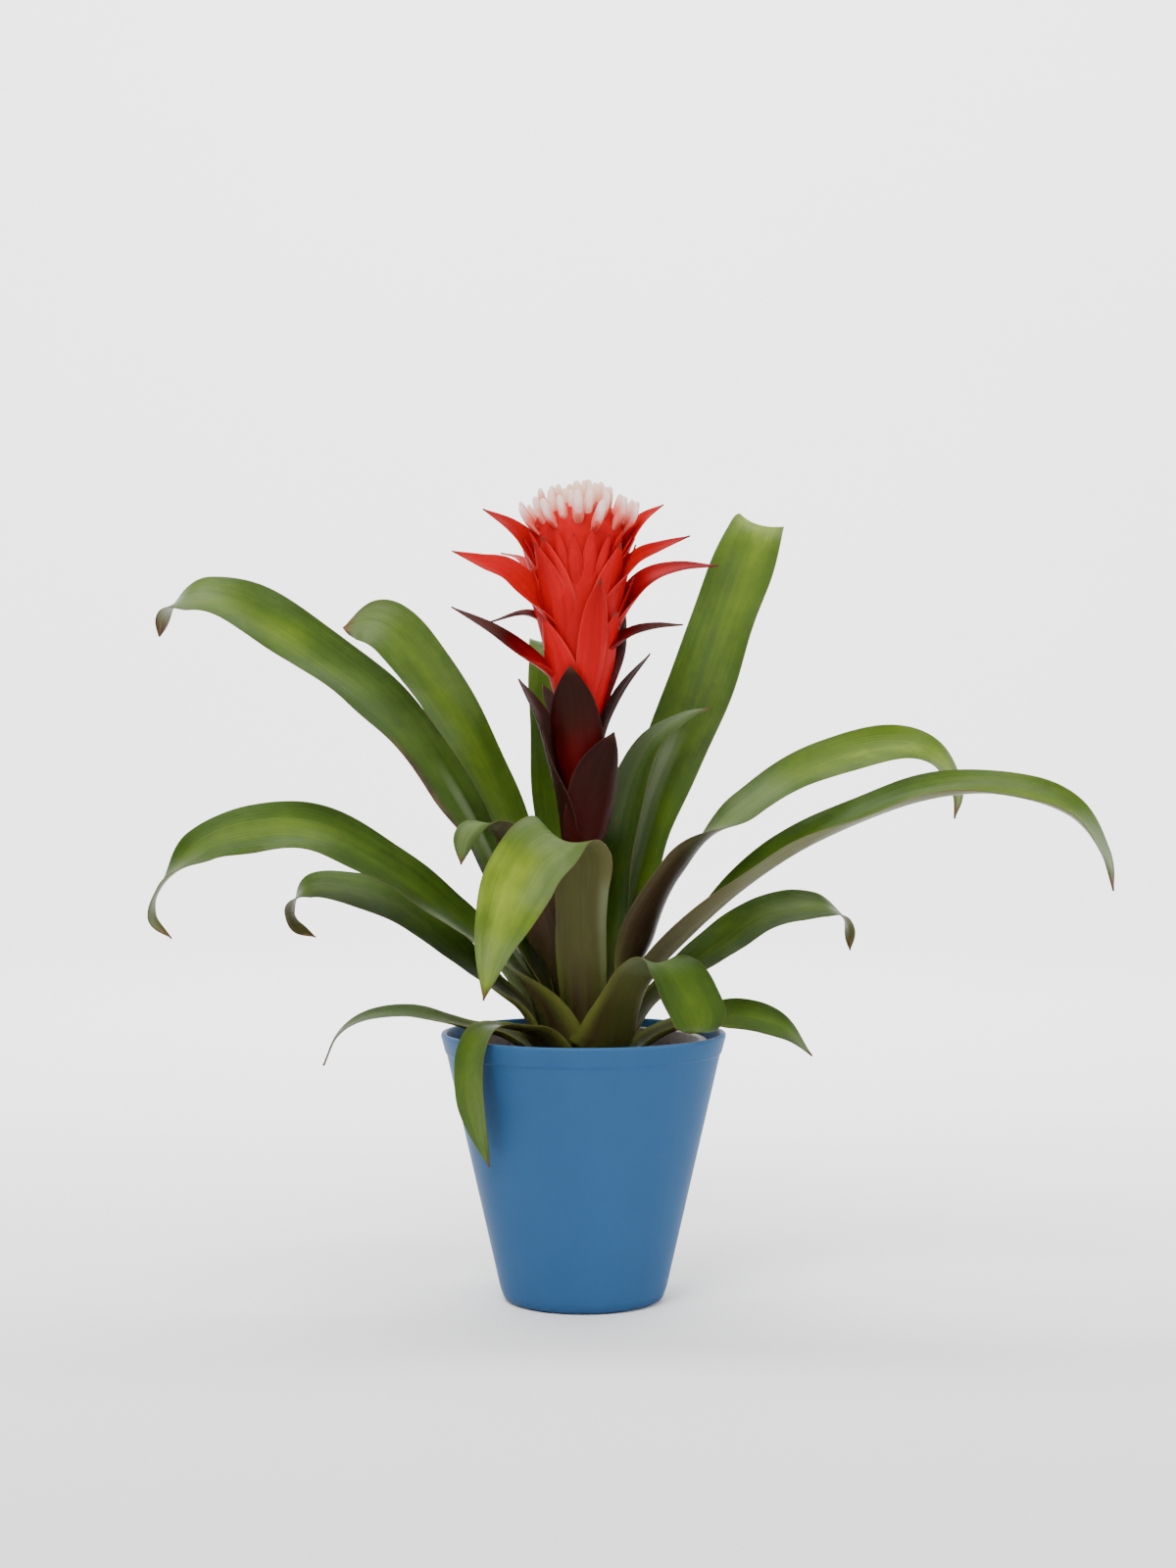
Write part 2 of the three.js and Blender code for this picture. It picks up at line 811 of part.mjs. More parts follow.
function add(name, geometry, color, roughness) {
  const material = new THREE.MeshStandardMaterial({ color, roughness, metalness: 0 });
  const mesh = new THREE.Mesh(geometry, material);
  mesh.name = name;
  group.add(mesh);
}

add("cover_pot", toGeometry(coverPot()), 0x43739c, 0.45);
add("grower_pot", toGeometry(growerPot()), 0xa8988f, 0.6);
add("soil", toGeometry(soil()), 0x3a2c22, 1);
add("stem", leant(toGeometry(stem())), 0x5a4a2e, 0.7);
for (const leaf of leaves) {
  add(leaf.name, toGeometry(leafSolid(leaf)), 0x4c7a2c, 0.5);
}
add("dark_bracts", leant(toGeometry(darkBractCluster())), 0x3c1a1c, 0.5);
add("red_bracts", leant(toGeometry(redBractCluster())), 0xd8201a, 0.45);
add("pale_tips", leant(toGeometry(paleTipCluster())), 0xf6e3d8, 0.45);

export default group;
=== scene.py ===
"""A guzmania bromeliad in flower, standing in its cover pot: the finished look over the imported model.

Lengths in the tables below are millimetres. Everything in the scene is in metres, with +Z up and the front
facing -Y. Each blade repeats the path of the solid that it stands for, with many more faces.
"""
import math

import bmesh
import bpy
import numpy as np
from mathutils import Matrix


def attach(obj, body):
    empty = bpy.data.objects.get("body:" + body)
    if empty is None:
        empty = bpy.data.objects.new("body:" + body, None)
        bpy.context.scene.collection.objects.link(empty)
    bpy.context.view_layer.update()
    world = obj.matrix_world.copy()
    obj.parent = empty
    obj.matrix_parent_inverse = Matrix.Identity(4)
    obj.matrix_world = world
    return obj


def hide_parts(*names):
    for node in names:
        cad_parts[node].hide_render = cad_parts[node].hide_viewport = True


bl_info = {
    "name": "Potted Guzmania",
    "version": (1, 0, 0),
    "blender": (4, 5, 0),
    "location": "3D View > Sidebar > Guzmania",
    "description": "Builds the leaves, bracts, pots and soil of a potted guzmania over its model",
    "category": "Add Mesh",
}

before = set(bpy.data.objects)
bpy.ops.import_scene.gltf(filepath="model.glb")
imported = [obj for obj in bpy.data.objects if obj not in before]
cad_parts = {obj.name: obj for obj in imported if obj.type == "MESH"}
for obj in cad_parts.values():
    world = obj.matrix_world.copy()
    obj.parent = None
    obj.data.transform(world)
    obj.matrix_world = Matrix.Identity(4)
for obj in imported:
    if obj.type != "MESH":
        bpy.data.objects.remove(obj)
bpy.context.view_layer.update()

MM = 0.001
GOLDEN_ANGLE = math.radians(137.508)

# Pots and soil
POT_SIDES = 160
POT_BAND = 10.0
POT_BAND_STEP = 0.5
POT_FOOT_INSET = 3.5
POT_FOOT_BEVEL = (0.4, 1.2)
POT_FOOT_RISE = 6.0
POT_LIP_DROP = 1.2
POT_LIP_EASE = 0.5
POT_ROUNDING = 1.6
POT_FLOOR = 3.0
# Heights, in metres, of a lighter band of glaze round the top of the rim.
RIM_LIGHTER_BAND = (0.1292, 0.1310)
GROWER_SIDES = 120
GROWER_RIM = 58.0
GROWER_FOOT = 35.0
GROWER_TOP = 127.5
GROWER_WALL = 1.2
GROWER_LIP_WIDTH = 2.4
GROWER_LIP_DEPTH = 6.0
DRAIN_HOLES = 5
DRAIN_HOLE_RADIUS = 4.0
DRAIN_HOLE_RING = 22.0
SOIL_SIDES = 150
SOIL_TOP = 117.0
SOIL_EDGE = 116.0
SEAT_GAP = 0.3

# Stem
STEM_SIDES = 64
CROWN_FOOT = 86.0
CROWN_FOOT_RADIUS = 15.0
CROWN_RADIUS = 29.0
CROWN_TOP = 129.0
SCAPE_RADIUS = 5.5
STEM_LEAN = -0.0096

# Flower head
CORE_SIDES = 48
DARK_FOOT = 205.0
RED_FOOT = 268.0
RED_TOP = 379.0
RED_FOOT_RADIUS = 5.5
RED_TOP_RADIUS = 22.0
TIPS_TOP = 402.0
TIPS_RADIUS = 26.0
TIPS_DROP = 12.0
TIPS_LEAN = math.radians(38)
TIPS_SEED = 5

# Blades: stations lie closer where a midrib turns, and the edges ripple once a blade is free of the rosette.
LEAF_GRID = (132, 18)
BRACT_GRID = (44, 14)
BRACT_THICKNESS = 0.9
BRACT_GUTTER = (62, 50, 34, 24)
BRACT_SHOULDER = 0.42
BRACT_TAPER = 0.58
THIN_EDGE = 0.35
TURN_PACE = 22.0
TANGENT_REACH = 0.6
RIPPLES = (9.5, 11.0, 23.0)
LEAF_RIPPLE = 0.95
BRACT_RIPPLE = 0.25
RIPPLE_FROM = 70.0
RIPPLE_REACH = 50.0
INNERMOST_RING = 9.6
RING_PITCH = 2.35
SHEATH_LENGTH = 50.0
NECK = (0.8, 0.15, 0.4)
STRIPE_REACH = 0.34
PATCH_FADE = 0.08

# Stage
FLOOR_SIDES = 96
FLOOR_FLAT = 2400.0
FLOOR_BEND = 1200.0
FLOOR_TOP = 2200.0
PLANT_MIDDLE = (0.0, 0.0, 0.22)
EYE_SIDE = 0.0022
EYE_HEIGHT = 0.266
EYE_DIP = 0.64

# Each leaf has the ring its sheath stands in, half the angle the sheath spans, the way it faces, its width, where
# it starts to taper and how bluntly, its roll and gutter at even steps, and its midrib as (reach, height,
# sideways). A neck is its share of the width, where it ends and how gently. The looks are how light the green is at
# even steps from foot to tip, which is partly the leaf's own colour and partly painted light and shade, the maroon
# of the underside at both ends, where across the blade its light stripe runs, and patches of painted sheen (a
# silvery painted highlight), maroon flush and lighter green, each as (across, half width, from, to, strength).
LEAVES = {
    "leaf_north": dict(
        ring=0, sheath=50, azimuth=100, width=31, taper=(0.7, 1.8), roll=(0, 0, 0, 0), gutter=(32, 28, 20, 12),
        midrib=((12, 155, 0), (18, 180, 3), (27, 206, 4), (36, 239, 5), (46, 270, 5), (56, 298, 4), (72, 320, 1),
                (94, 325), (116, 312), (130, 290)),
        tone=(0.3, 0.42, 0.52, 0.58, 0.55), maroon=(0.6, 0.15),
    ),
    "leaf_southwest_inner": dict(
        ring=0, sheath=50, azimuth=203, width=28, taper=(0.7, 1.8), roll=(0, 40, 55, 10, -55),
        gutter=(30, 30, 26, 14, 6),
        midrib=((13, 152), (19, 176), (28, 202), (38, 224), (47, 232.5), (56, 233), (62, 226.5), (64, 214)),
        tone=(0.35, 0.45, 0.55, 0.62, 0.56), maroon=(1.0, 0.8),
        flush=((0.35, 0.5, 0.5, 0.74, 0.8),), silver=((0.5, 0.4, 0.72, 1.1, 0.4),),
    ),
    "leaf_south": dict(
        ring=1, sheath=58, azimuth=268, width=34, neck=(0.76, 0.28, 0.25), taper=(0.7, 1.5),
        roll=(0, -4, -20, -30, -8, 0), gutter=(34, 30, 20, 12, 8, 6),
        midrib=((16, 150, 0), (21, 178, -1), (27, 203, -1), (34, 219, -1), (42, 226, -9), (52, 221, -20),
                (62, 208, -28), (70, 192, -34), (76, 176, -39), (81, 154, -43)),
        tone=(0.4, 0.55, 0.7, 0.78, 0.76), maroon=(0.4, 0.34),
        silver=((1.0, 0.14, 0.1, 0.44, 0.6), (0.95, 0.34, 0.48, 0.8, 0.4), (0.2, 0.6, 0.46, 0.66, 0.6),
                (0.6, 0.6, 0.82, 1.0, 0.4)), gold=((0.1, 0.4, 0.62, 0.84, 0.12),),
    ),
    "leaf_east_inner": dict(
        ring=1, sheath=50, azimuth=37, width=32, taper=(0.5, 1.5), roll=(0, 6, 8, 16, 20),
        gutter=(34, 40, 50, 46, 16),
        midrib=((17, 150, 2), (24, 180, 5), (29, 213, 8), (36, 243, 9), (48, 272, 6), (65, 286, 1), (81, 291)),
        tone=(0.3, 0.36, 0.4, 0.45, 0.5), maroon=(0.35, 0.0), silver=((0.85, 0.4, 0.5, 1.1, 0.5),),
    ),
    "leaf_northwest": dict(
        ring=1, sheath=44, azimuth=139, width=30, taper=(0.88, 2.6), roll=(0, 10, -10, -36, -58),
        gutter=(32, 30, 24, 14, 8),
        midrib=((15, 152), (30, 188, -0.5), (57, 238.5, -2), (85, 281.5, -1), (110, 312), (131, 331), (151, 338),
                (171, 335)),
        tone=(0.3, 0.44, 0.52, 0.56, 0.6), maroon=(0.7, 0.1), silver=((0.5, 0.5, 0.84, 1.1, 0.35),),
    ),
    "leaf_northeast_high": dict(
        ring=2, sheath=56, azimuth=53, width=36, taper=(0.74, 2), roll=(0, 12, 26, 20, 20),
        gutter=(32, 30, 24, 14, 10),
        midrib=((19.5, 150), (35, 185), (61, 242), (94, 290), (128, 345), (151, 383), (166, 392, 6),
                (178, 381, 18), (179, 358, 28)),
        tone=(0.42, 0.5, 0.5, 0.58, 1.2), maroon=(0.6, 0.1), stripe=0.34,
        silver=((0.6, 0.13, 0.06, 0.5, 1.0),), gold=((0.36, 0.2, 0.06, 0.3, 0.06),),
    ),
    "leaf_west_high": dict(
        ring=2, sheath=56, azimuth=168, width=34, taper=(0.88, 3.0),
        roll=(0, -6, -12, -20, -28, -32, -36, -42, -44, -34, 10), gutter=(32, 30, 22, 16, 14),
        midrib=((21, 150), (33, 175.5), (56, 227.5), (95, 284), (134, 316), (172, 339.5), (197, 347.5),
                (214, 342.5), (221, 327)),
        tone=(0.3, 0.32, 0.36, 0.5, 0.68), maroon=(0.8, 0.12), stripe=0.6,
        silver=((0.36, 0.07, 0.14, 0.46, 0.5), (0.8, 0.5, 0.86, 1.1, 0.5)),
        flush=((1.0, 0.14, 0.12, 0.54, 1.0),), gold=((0.6, 0.3, 0.68, 0.82, 0.2),),
    ),
    "leaf_east_high": dict(
        ring=3, sheath=54, azimuth=6, width=29, neck=(0.92, 0.15, 0.4), taper=(0.84, 2.2),
        roll=(0, -55, -32, 25, 38, 36, 30),
        gutter=(36, 40, 30, 18, 14, 10),
        midrib=((21, 150), (33, 186), (53, 217), (83, 242), (117, 262), (152, 271), (175, 267), (187, 250),
                (186, 235)),
        tone=(0.35, 0.42, 0.55, 0.7, 0.75), maroon=(1.0, 0.6), silver=((0.5, 0.5, 0.34, 0.62, 0.4),),
    ),
    "leaf_west": dict(
        ring=4, sheath=82, azimuth=197, width=33, taper=(0.66, 1.8),
        roll=(0, -13, -26, -36, -44, -44, -44, -42, -32, 10, 62), gutter=(34, 30, 22, 16, 12, 10),
        midrib=((26, 147), (40, 166), (57, 182), (96, 211), (136, 231), (178, 228), (203, 209), (210, 192),
                (201, 181)),
        tone=(0.3, 0.34, 0.38, 0.52, 0.44), maroon=(0.8, 0.15),
        silver=((1.0, 0.2, 0.12, 0.4, 0.75), (0.9, 0.4, 0.78, 1.1, 0.6)), gold=((0.6, 0.4, 0.54, 0.72, 0.14),),
    ),
    "leaf_east_long": dict(
        ring=4, sheath=48, azimuth=-8, width=35, neck=(1.22, 0.25, 0.35), taper=(0.86, 2.4),
        roll=(0, -4, 13, 18, 18, 12), gutter=(38, 42, 53, 44, 26, 12),
        midrib=((26, 148), (50, 176), (89, 210), (127, 232), (164, 246), (201, 250), (234, 240), (251, 220),
                (255, 202)),
        tone=(0.32, 0.4, 0.48, 0.6, 0.6), maroon=(0.6, 0.1), silver=((0.0, 0.14, 0.3, 0.7, 0.5),),
        flush=((1.0, 0.3, 0.08, 0.24, 0.9),),
    ),
    "leaf_north_low": dict(
        ring=4, sheath=44, azimuth=93, width=30, taper=(0.74, 1.8), roll=(0, 0, 0, 0), gutter=(34, 28, 20, 12),
        midrib=((26, 150), (46, 186), (80, 222), (124, 242), (166, 236), (196, 208), (204, 178)),
        tone=(0.3, 0.42, 0.5, 0.56, 0.54), maroon=(0.7, 0.12),
    ),
    "leaf_southeast": dict(
        ring=5, sheath=64, azimuth=310, width=29, taper=(0.88, 1.6), roll=(0, 0, -4, 20, 4),
        gutter=(34, 28, 14, 10, 8),
        midrib=((26, 128), (32, 141, -2), (40, 154, -4), (47, 163, -4), (56, 168), (65, 162.5, 3.4), (71, 151, 7),
                (73, 143, 10), (71.5, 137.5, 11), (65, 135, 11)),
        tone=(0.3, 0.34, 0.38, 0.46, 0.48), maroon=(0.1, 0.1), silver=((0.4, 0.6, 0.42, 0.62, 0.5),),
    ),
    "leaf_east_low": dict(
        ring=5, sheath=30, azimuth=20, width=24, taper=(0.66, 2.6),
        roll=(0, 10, 20, 29, 35, 40, 37, 34, 30, 14, -35), gutter=(34, 30, 22, 14, 10),
        midrib=((34, 142), (49, 155), (65, 167), (97, 186), (126, 190), (142, 183), (145, 167)),
        tone=(0.32, 0.44, 0.52, 0.54, 0.46), maroon=(0.6, 0.2), flush=((0.5, 0.8, 0.9, 1.1, 0.6),),
    ),
    "leaf_west_low": dict(
        ring=5, sheath=44, azimuth=178, width=27, taper=(0.64, 1.9),
        roll=(0, -10, -19, -26, -31, -34, -34, -34, -36, 18, 90), gutter=(34, 30, 22, 14, 10),
        midrib=((30, 140), (43, 152), (75, 180), (100, 196), (122, 202), (136, 201), (144, 192), (142, 183),
                (132, 177)),
        tone=(0.3, 0.38, 0.44, 0.5, 0.42), maroon=(0.9, 0.4), flush=((0.5, 0.8, 0.82, 1.1, 0.9),),
    ),
    "leaf_southwest_low": dict(
        ring=6, sheath=38, azimuth=225, width=20, taper=(0.72, 1.6), roll=(0, 0, 0, 0, 0),
        gutter=(34, 26, 16, 12, 10),
        midrib=((35, 132), (48, 136), (59, 138), (68, 136), (74, 126), (75, 113), (73.5, 101), (69, 86), (63, 72)),
        tone=(0.35, 0.45, 0.54, 0.58, 0.54), maroon=(0.7, 0.3),
    ),
    "leaf_northeast_low": dict(
        ring=6, sheath=26, azimuth=77.5, width=24, taper=(0.74, 1.8), roll=(0, 0, 0, 0), gutter=(34, 28, 20, 12),
        midrib=((36, 148), (60, 175), (90, 205), (125, 226), (155, 228), (173, 216), (180, 198)),
        tone=(0.3, 0.42, 0.5, 0.56, 0.54), maroon=(0.7, 0.12),
    ),
    "leaf_northwest_low": dict(
        ring=6, sheath=26, azimuth=130, width=26, taper=(0.74, 1.8), roll=(0, 0, 0, 0), gutter=(34, 28, 20, 12),
        midrib=((36, 138), (60, 160), (100, 180), (140, 199), (165, 199), (180, 191)),
        tone=(0.3, 0.42, 0.5, 0.56, 0.54), maroon=(0.7, 0.12),
    ),
    "leaf_west_thin": dict(
        ring=7, sheath=36, azimuth=172, width=16, taper=(0.6, 1.5), roll=(0, -8, -16, -18, -10),
        gutter=(34, 30, 20, 14, 10),
        midrib=((40, 128), (56, 131.5), (70, 135.5), (88, 139), (109, 136.5), (123.5, 127.5), (131, 112)),
        tone=(0.3, 0.4, 0.46, 0.48, 0.42), maroon=(0.9, 0.6),
    ),
    "leaf_east_bottom": dict(
        ring=7, sheath=36, azimuth=8, width=23, taper=(0.66, 1.8), roll=(0, 14, 38, 38, 26),
        gutter=(34, 30, 22, 14, 10),
        midrib=((40, 129), (58, 135), (80, 137), (100, 131), (115, 117)),
        tone=(0.3, 0.4, 0.46, 0.48, 0.46), maroon=(0.6, 0.2),
    ),
}

# Each bract has azimuth, width, roll, its midrib, and its red from foot to tip: 0 is dark maroon and 1 is bright.
# The closed ones have the azimuth and the height of the foot.
DARK_BRACTS = (
    (300, 30, 0, ((5, 206), (9, 222, -1), (13, 240), (16, 256, 1), (22, 278, 6)), (0.22, 0.03)),
    (195, 31, -30, ((5, 206), (9, 224), (13, 250), (20, 281), (31, 304)), (0.12, 0.02)),
    (75, 24, 0, ((5, 206), (10, 222), (15, 240), (21, 268), (30, 286)), (0.1, 0.0)),
    (15, 18, 0, ((4, 248), (9, 266), (14, 283), (23, 300), (36, 317)), (0.2, 0.08)),
    (257, 28, 0, ((4, 240), (9, 264), (15, 285), (19, 299), (21, 310)), (0.35, 0.02)),
    (130, 20, 0, ((4, 238), (9, 262), (16, 284), (29, 302)), (0.3, 0.05)),
)
RED_BRACTS = (
    (188, 17, -35, ((5, 280), (9, 294), (15, 305), (27, 315), (44, 328), (63, 339)), (0.8, 0.0)),
    (345, 17, 25, ((5, 282), (9, 302), (15, 316), (25, 325), (38, 329), (52, 330)), (0.8, 0.1)),
    (105, 17, 0, ((5, 280), (12, 303), (21, 320), (38, 334), (58, 339)), (0.8, 0.1)),
    (172, 15, -15, ((6, 296), (11, 314), (16, 329), (27, 336), (46, 332)), (0.9, 0.3)),
    (38, 18, 0, ((7, 278), (14, 292), (20, 305), (26, 320), (29, 339)), (0.7, 0.15)),
    (200, 21, -60, ((7, 298), (13, 320), (21, 339), (36, 355), (50, 360), (65, 365)), (0.95, 0.85)),
    (5, 18, 35, ((9, 300), (16, 321), (24, 340), (34, 353), (50, 359), (69, 360)), (1.0, 0.58)),
    (288, 15, 0, ((9, 286), (18, 308), (24, 326), (28, 340), (34, 351)), (0.95, 0.8)),
    (70, 18, 0, ((8, 298), (15, 322), (23, 342), (40, 356), (60, 360)), (0.9, 0.5)),
    (335, 19, 45, ((9, 305), (14, 327), (20, 347), (31, 361), (44, 367), (59, 372)), (0.95, 0.7)),
    (135, 18, 0, ((10, 310), (18, 335), (27, 352), (42, 365), (56, 369)), (0.95, 0.8)),
    (230, 20, 0, ((12, 312), (19, 335), (25, 354), (33, 369)), (0.95, 0.9)),
    (25, 16, 0, ((12, 322), (18, 344), (26, 360), (40, 371)), (1.0, 0.8)),
    (186, 19, -45, ((14, 326), (18, 346), (24, 367), (33, 378), (47, 387)), (1.0, 0.75)),
    (95, 18, 0, ((14, 325), (19, 347), (25, 365), (35, 379), (46, 386)), (1.0, 0.8)),
    (352, 18, 45, ((14, 332), (18, 352), (24, 371), (32, 382), (42, 389)), (1.0, 0.8)),
)
BROADER_RED = 1.08
BLUNT_BRACT = 7
CLOSED_BRACTS = (
    (225, 276), (318, 278), (140, 277), (50, 279), (184, 294), (5, 296), (95, 298),
    (180, 312), (135, 315), (88, 310), (42, 315), (2, 312), (317, 311), (232, 314),
)
CLOSED_LENGTH = 58.0
CLOSED_WIDTH = 25.0
CLOSED_STAND = ((0.0, -1.0), (0.35, 0.6), (0.7, 2.2), (1.0, 6.0))
COLLAR_BRACTS = 19
COLLAR_LENGTH = 30.0
COLLAR_WIDTH = 8.5
COLLAR_START = 343.0
COLLAR_STAGGER = 3.0
COLLAR_STAND = ((0.0, -1.5), (0.4, 0.6), (0.75, 2.4), (1.0, 5.5))

# The first seed of each kind of bract, and the streak values of the two cores
DARK_SEED = 40
RED_SEED = 60
CLOSED_SEED = 90
COLLAR_SEED = 130
DARK_CORE_STREAKS = 5.0
RED_CORE_STREAKS = 8.0

# Each light has its place, what it faces, its size and the setting that holds its power, in metres.
LIGHTS = {
    "key_light": ((-0.5, -1.5, 2.1), PLANT_MIDDLE, 1.1, "key_power"),
    "fill_light": ((1.6, -1.3, 1.0), PLANT_MIDDLE, 1.2, "fill_power"),
    "backdrop_light": ((0.0, 1.1, 2.4), (0.0, 3.4, 0.5), 2.6, "back_power"),
}


def colour(red, green, blue):
    """A colour given as it shows on a screen, 0 to 255, as the linear numbers that materials hold."""
    def linear(value):
        value /= 255
        return value / 12.92 if value <= 0.04045 else ((value + 0.055) / 1.055) ** 2.4

    return (linear(red), linear(green), linear(blue), 1.0)


def tones(*stops):
    return [(at, colour(*shown)) for at, *shown in stops]


# Surface colours
LEAF_TONES = tones((0.0, 18, 31, 9), (0.25, 36, 53, 14), (0.75, 80, 101, 24), (1.0, 126, 145, 44))
LEAF_GREEN = colour(56, 78, 20)
# Painted sheen: a silvery painted highlight laid on the leaves' faces.
PAINTED_SHEEN_COLOUR = colour(106, 118, 88)
FLUSH_MAROON = colour(60, 42, 34)
FLUSH_BROWN = colour(92, 74, 52)
UNDER_OLIVE = colour(86, 92, 44)
UNDER_MAROON = colour(52, 29, 26)
UNDER_LINE = colour(104, 95, 62)
UNDER_DARK = colour(46, 33, 25)
UNDER_PALE = colour(104, 97, 70)
UNDER_SHADE = colour(42, 40, 22)
SHEATH_BROWN = colour(70, 46, 34)
SHEATH_OLIVE = colour(74, 78, 36)
SHEATH_GREEN = colour(122, 132, 54)
EDGE_STRAW = colour(104, 92, 62)
DRY_BROWN = colour(62, 40, 24)
DRY_PALE = colour(108, 84, 54)
BRACT_TONES = tones((0.0, 34, 11, 10), (0.25, 54, 9, 7), (0.5, 98, 4, 6), (0.75, 150, 3, 9), (1.0, 182, 3, 16))
# Pink of the bracts' veins, also used as a painted highlight along the edges of the bright bracts.
BRACT_PINK_AND_EDGE_HIGHLIGHT = colour(196, 70, 62)
BRACT_OLIVE = colour(34, 24, 14)
BRACT_MAUVE = colour(88, 54, 48)
BRACT_BROWN = colour(64, 42, 34)
BRACT_INSIDE = colour(208, 24, 28)
TIP_TONES = tones(
    (0.0, 150, 3, 9), (0.44, 180, 5, 16), (0.55, 212, 56, 48), (0.64, 238, 150, 140), (0.84, 252, 216, 206)
)
# Pink laid on the flanks of the pale tips as painted shade that parts them.
TIP_FLANK_SHADE = colour(228, 92, 84)
TIP_CREAM = colour(252, 234, 186)
GLAZE_BLUE = colour(46, 83, 124)
GLAZE_LIGHT = colour(60, 104, 146)
GLAZE_DEEP = colour(22, 46, 76)
PLASTIC_GREY = colour(108, 98, 94)
PLASTIC_MAUVE = colour(128, 116, 112)
PEAT_DARK = colour(26, 19, 14)
PEAT_LIGHT = colour(56, 42, 31)
BARK_DARK = colour(52, 36, 26)
BARK_LIGHT = colour(104, 78, 56)
SOIL_DUST = colour(60, 48, 38)
SOIL_FLECK = colour(104, 86, 66)
FLOOR_TONES = ((0.93, 0.93, 0.93, 1), (0.96, 0.96, 0.96, 1))


def mix(a, b, t):
    return a + (b - a) * t


def smooth(t):
    t = np.clip(t, 0, 1)
    return t * t * (3 - 2 * t)


def along(values, t):
    """The value at t, from 0 to 1, of numbers that stand at even steps."""
    values = np.array(values, float)
    at = np.clip(t, 0, 1) * (len(values) - 1)
    i = np.minimum(at.astype(int), len(values) - 2)
    return mix(values[i], values[i + 1], smooth(at - i))


# ---------------------------------------------------------------------------------------------- blades


def curve_points(points):
    """A smooth curve through the points, sampled finely."""
    points = np.array(points, float)
    ends = np.vstack([2 * points[0] - points[1], points, 2 * points[-1] - points[-2]])
    at = np.linspace(0, len(points) - 1, 40 * len(points) + 1)
    i = np.minimum(at.astype(int), len(points) - 2)
    w = (at - i)[:, None]
    before, start, stop, after = ends[i], ends[i + 1], ends[i + 2], ends[i + 3]
    leave = 0.5 * (stop - before)
    arrive = 0.5 * (after - start)
    bend = (3 * (stop - start) - 2 * leave - arrive) * w**2
    return start + leave * w + bend + (2 * (start - stop) + leave + arrive) * w**3


def unit(vectors):
    return vectors / np.linalg.norm(vectors, axis=-1, keepdims=True)


def blade(azimuth, midrib, half_width, half_angle, roll, grid, thick, ripple, seed):
    """The vertices, faces and surface values of one thin blade, in millimetres."""
    stations, across = grid
    facing = math.radians(azimuth)
    out = np.array((math.cos(facing), math.sin(facing), 0))
    side = np.array((-out[1], out[0], 0))
    points = [out * p[0] + side * (p[2] if len(p) > 2 else 0) + np.array((0, 0, p[1])) for p in midrib]
    line = curve_points(points)
    steps = np.diff(line, axis=0)
    reach = np.linalg.norm(steps, axis=1)
    directions = steps / reach[:, None]
    turns = np.arccos(np.clip((directions[:-1] * directions[1:]).sum(1), -1, 1))
    distance = np.concatenate([[0], np.cumsum(reach)])
    pace = np.concatenate([[0], np.cumsum(reach + TURN_PACE * np.append(turns, 0))])
    s = np.interp(np.linspace(0, pace[-1], stations + 1), pace, distance)

    def on_line(at):
        return np.stack([np.interp(at, distance, line[:, k]) for k in range(3)], 1)

    middle = on_line(s)
    tangent = unit(on_line(s + TANGENT_REACH) - on_line(s - TANGENT_REACH))
    length = distance[-1]
    t = s / length
    flat = unit(side - tangent * (tangent @ side)[:, None])
    inward = np.cross(tangent, flat)
    turn = np.radians(roll(t, length))[:, None]
    side_axis = flat * np.cos(turn) + inward * np.sin(turn)
    in_axis = inward * np.cos(turn) - flat * np.sin(turn)
    half = half_width(t, length)
    angle = np.radians(half_angle(t, length))
    radius = half / angle
    u = np.sin(np.linspace(-1, 1, across + 1) * math.pi / 2)
    rng = np.random.default_rng(seed)
    phase = rng.uniform(0, 2 * math.pi, 4)
    waves = [np.sin(s / pitch + start)[:, None] for pitch, start in zip(RIPPLES, phase)]
    wave = (waves[0] * (u > 0) + waves[1] * (u < 0)) * np.abs(u) ** 3 + 0.6 * waves[2] * u**2
    free = smooth((s - RIPPLE_FROM) / RIPPLE_REACH)
    lift = ripple * wave * free[:, None] * np.minimum(half / 10, 1)[:, None]
    thickness = mix(thick, THIN_EDGE, u**4)
    bend = u * angle[:, None]
    rows = []
    for offset in (-1, 1):
        r = radius[:, None] + offset * thickness / 2 - lift
        sideways = side_axis[:, None] * (r * np.sin(bend))[..., None]
        rows.append(middle[:, None] + sideways + in_axis[:, None] * (radius[:, None] - r * np.cos(bend))[..., None])
    rings = np.concatenate([rows[0], rows[1][:, ::-1]], 1)
    count = rings.shape[1]
    faces = []
    for i in range(stations):
        for j in range(count):
            a = i * count + j
            b = i * count + (j + 1) % count
            faces.append((a, a + count, b + count, b))
    last = stations * count
    for j in range(across):
        k = count - 1 - j
        faces += [(j, j + 1, k - 1, k), (last + j, last + k, last + k - 1, last + j + 1)]
    both = np.concatenate([u, u[::-1]])
    return {
        "points": rings.reshape(-1, 3),
        "faces": faces,
        "across": np.tile((both + 1) / 2, stations + 1),
        "run": np.repeat(s * MM, count),
        "share": np.repeat(t, count),
        "upper": np.tile(np.repeat((1.0, 0.0), across + 1), stations + 1),
        "seed": np.full((stations + 1) * count, rng.uniform(0, 10)),
    }


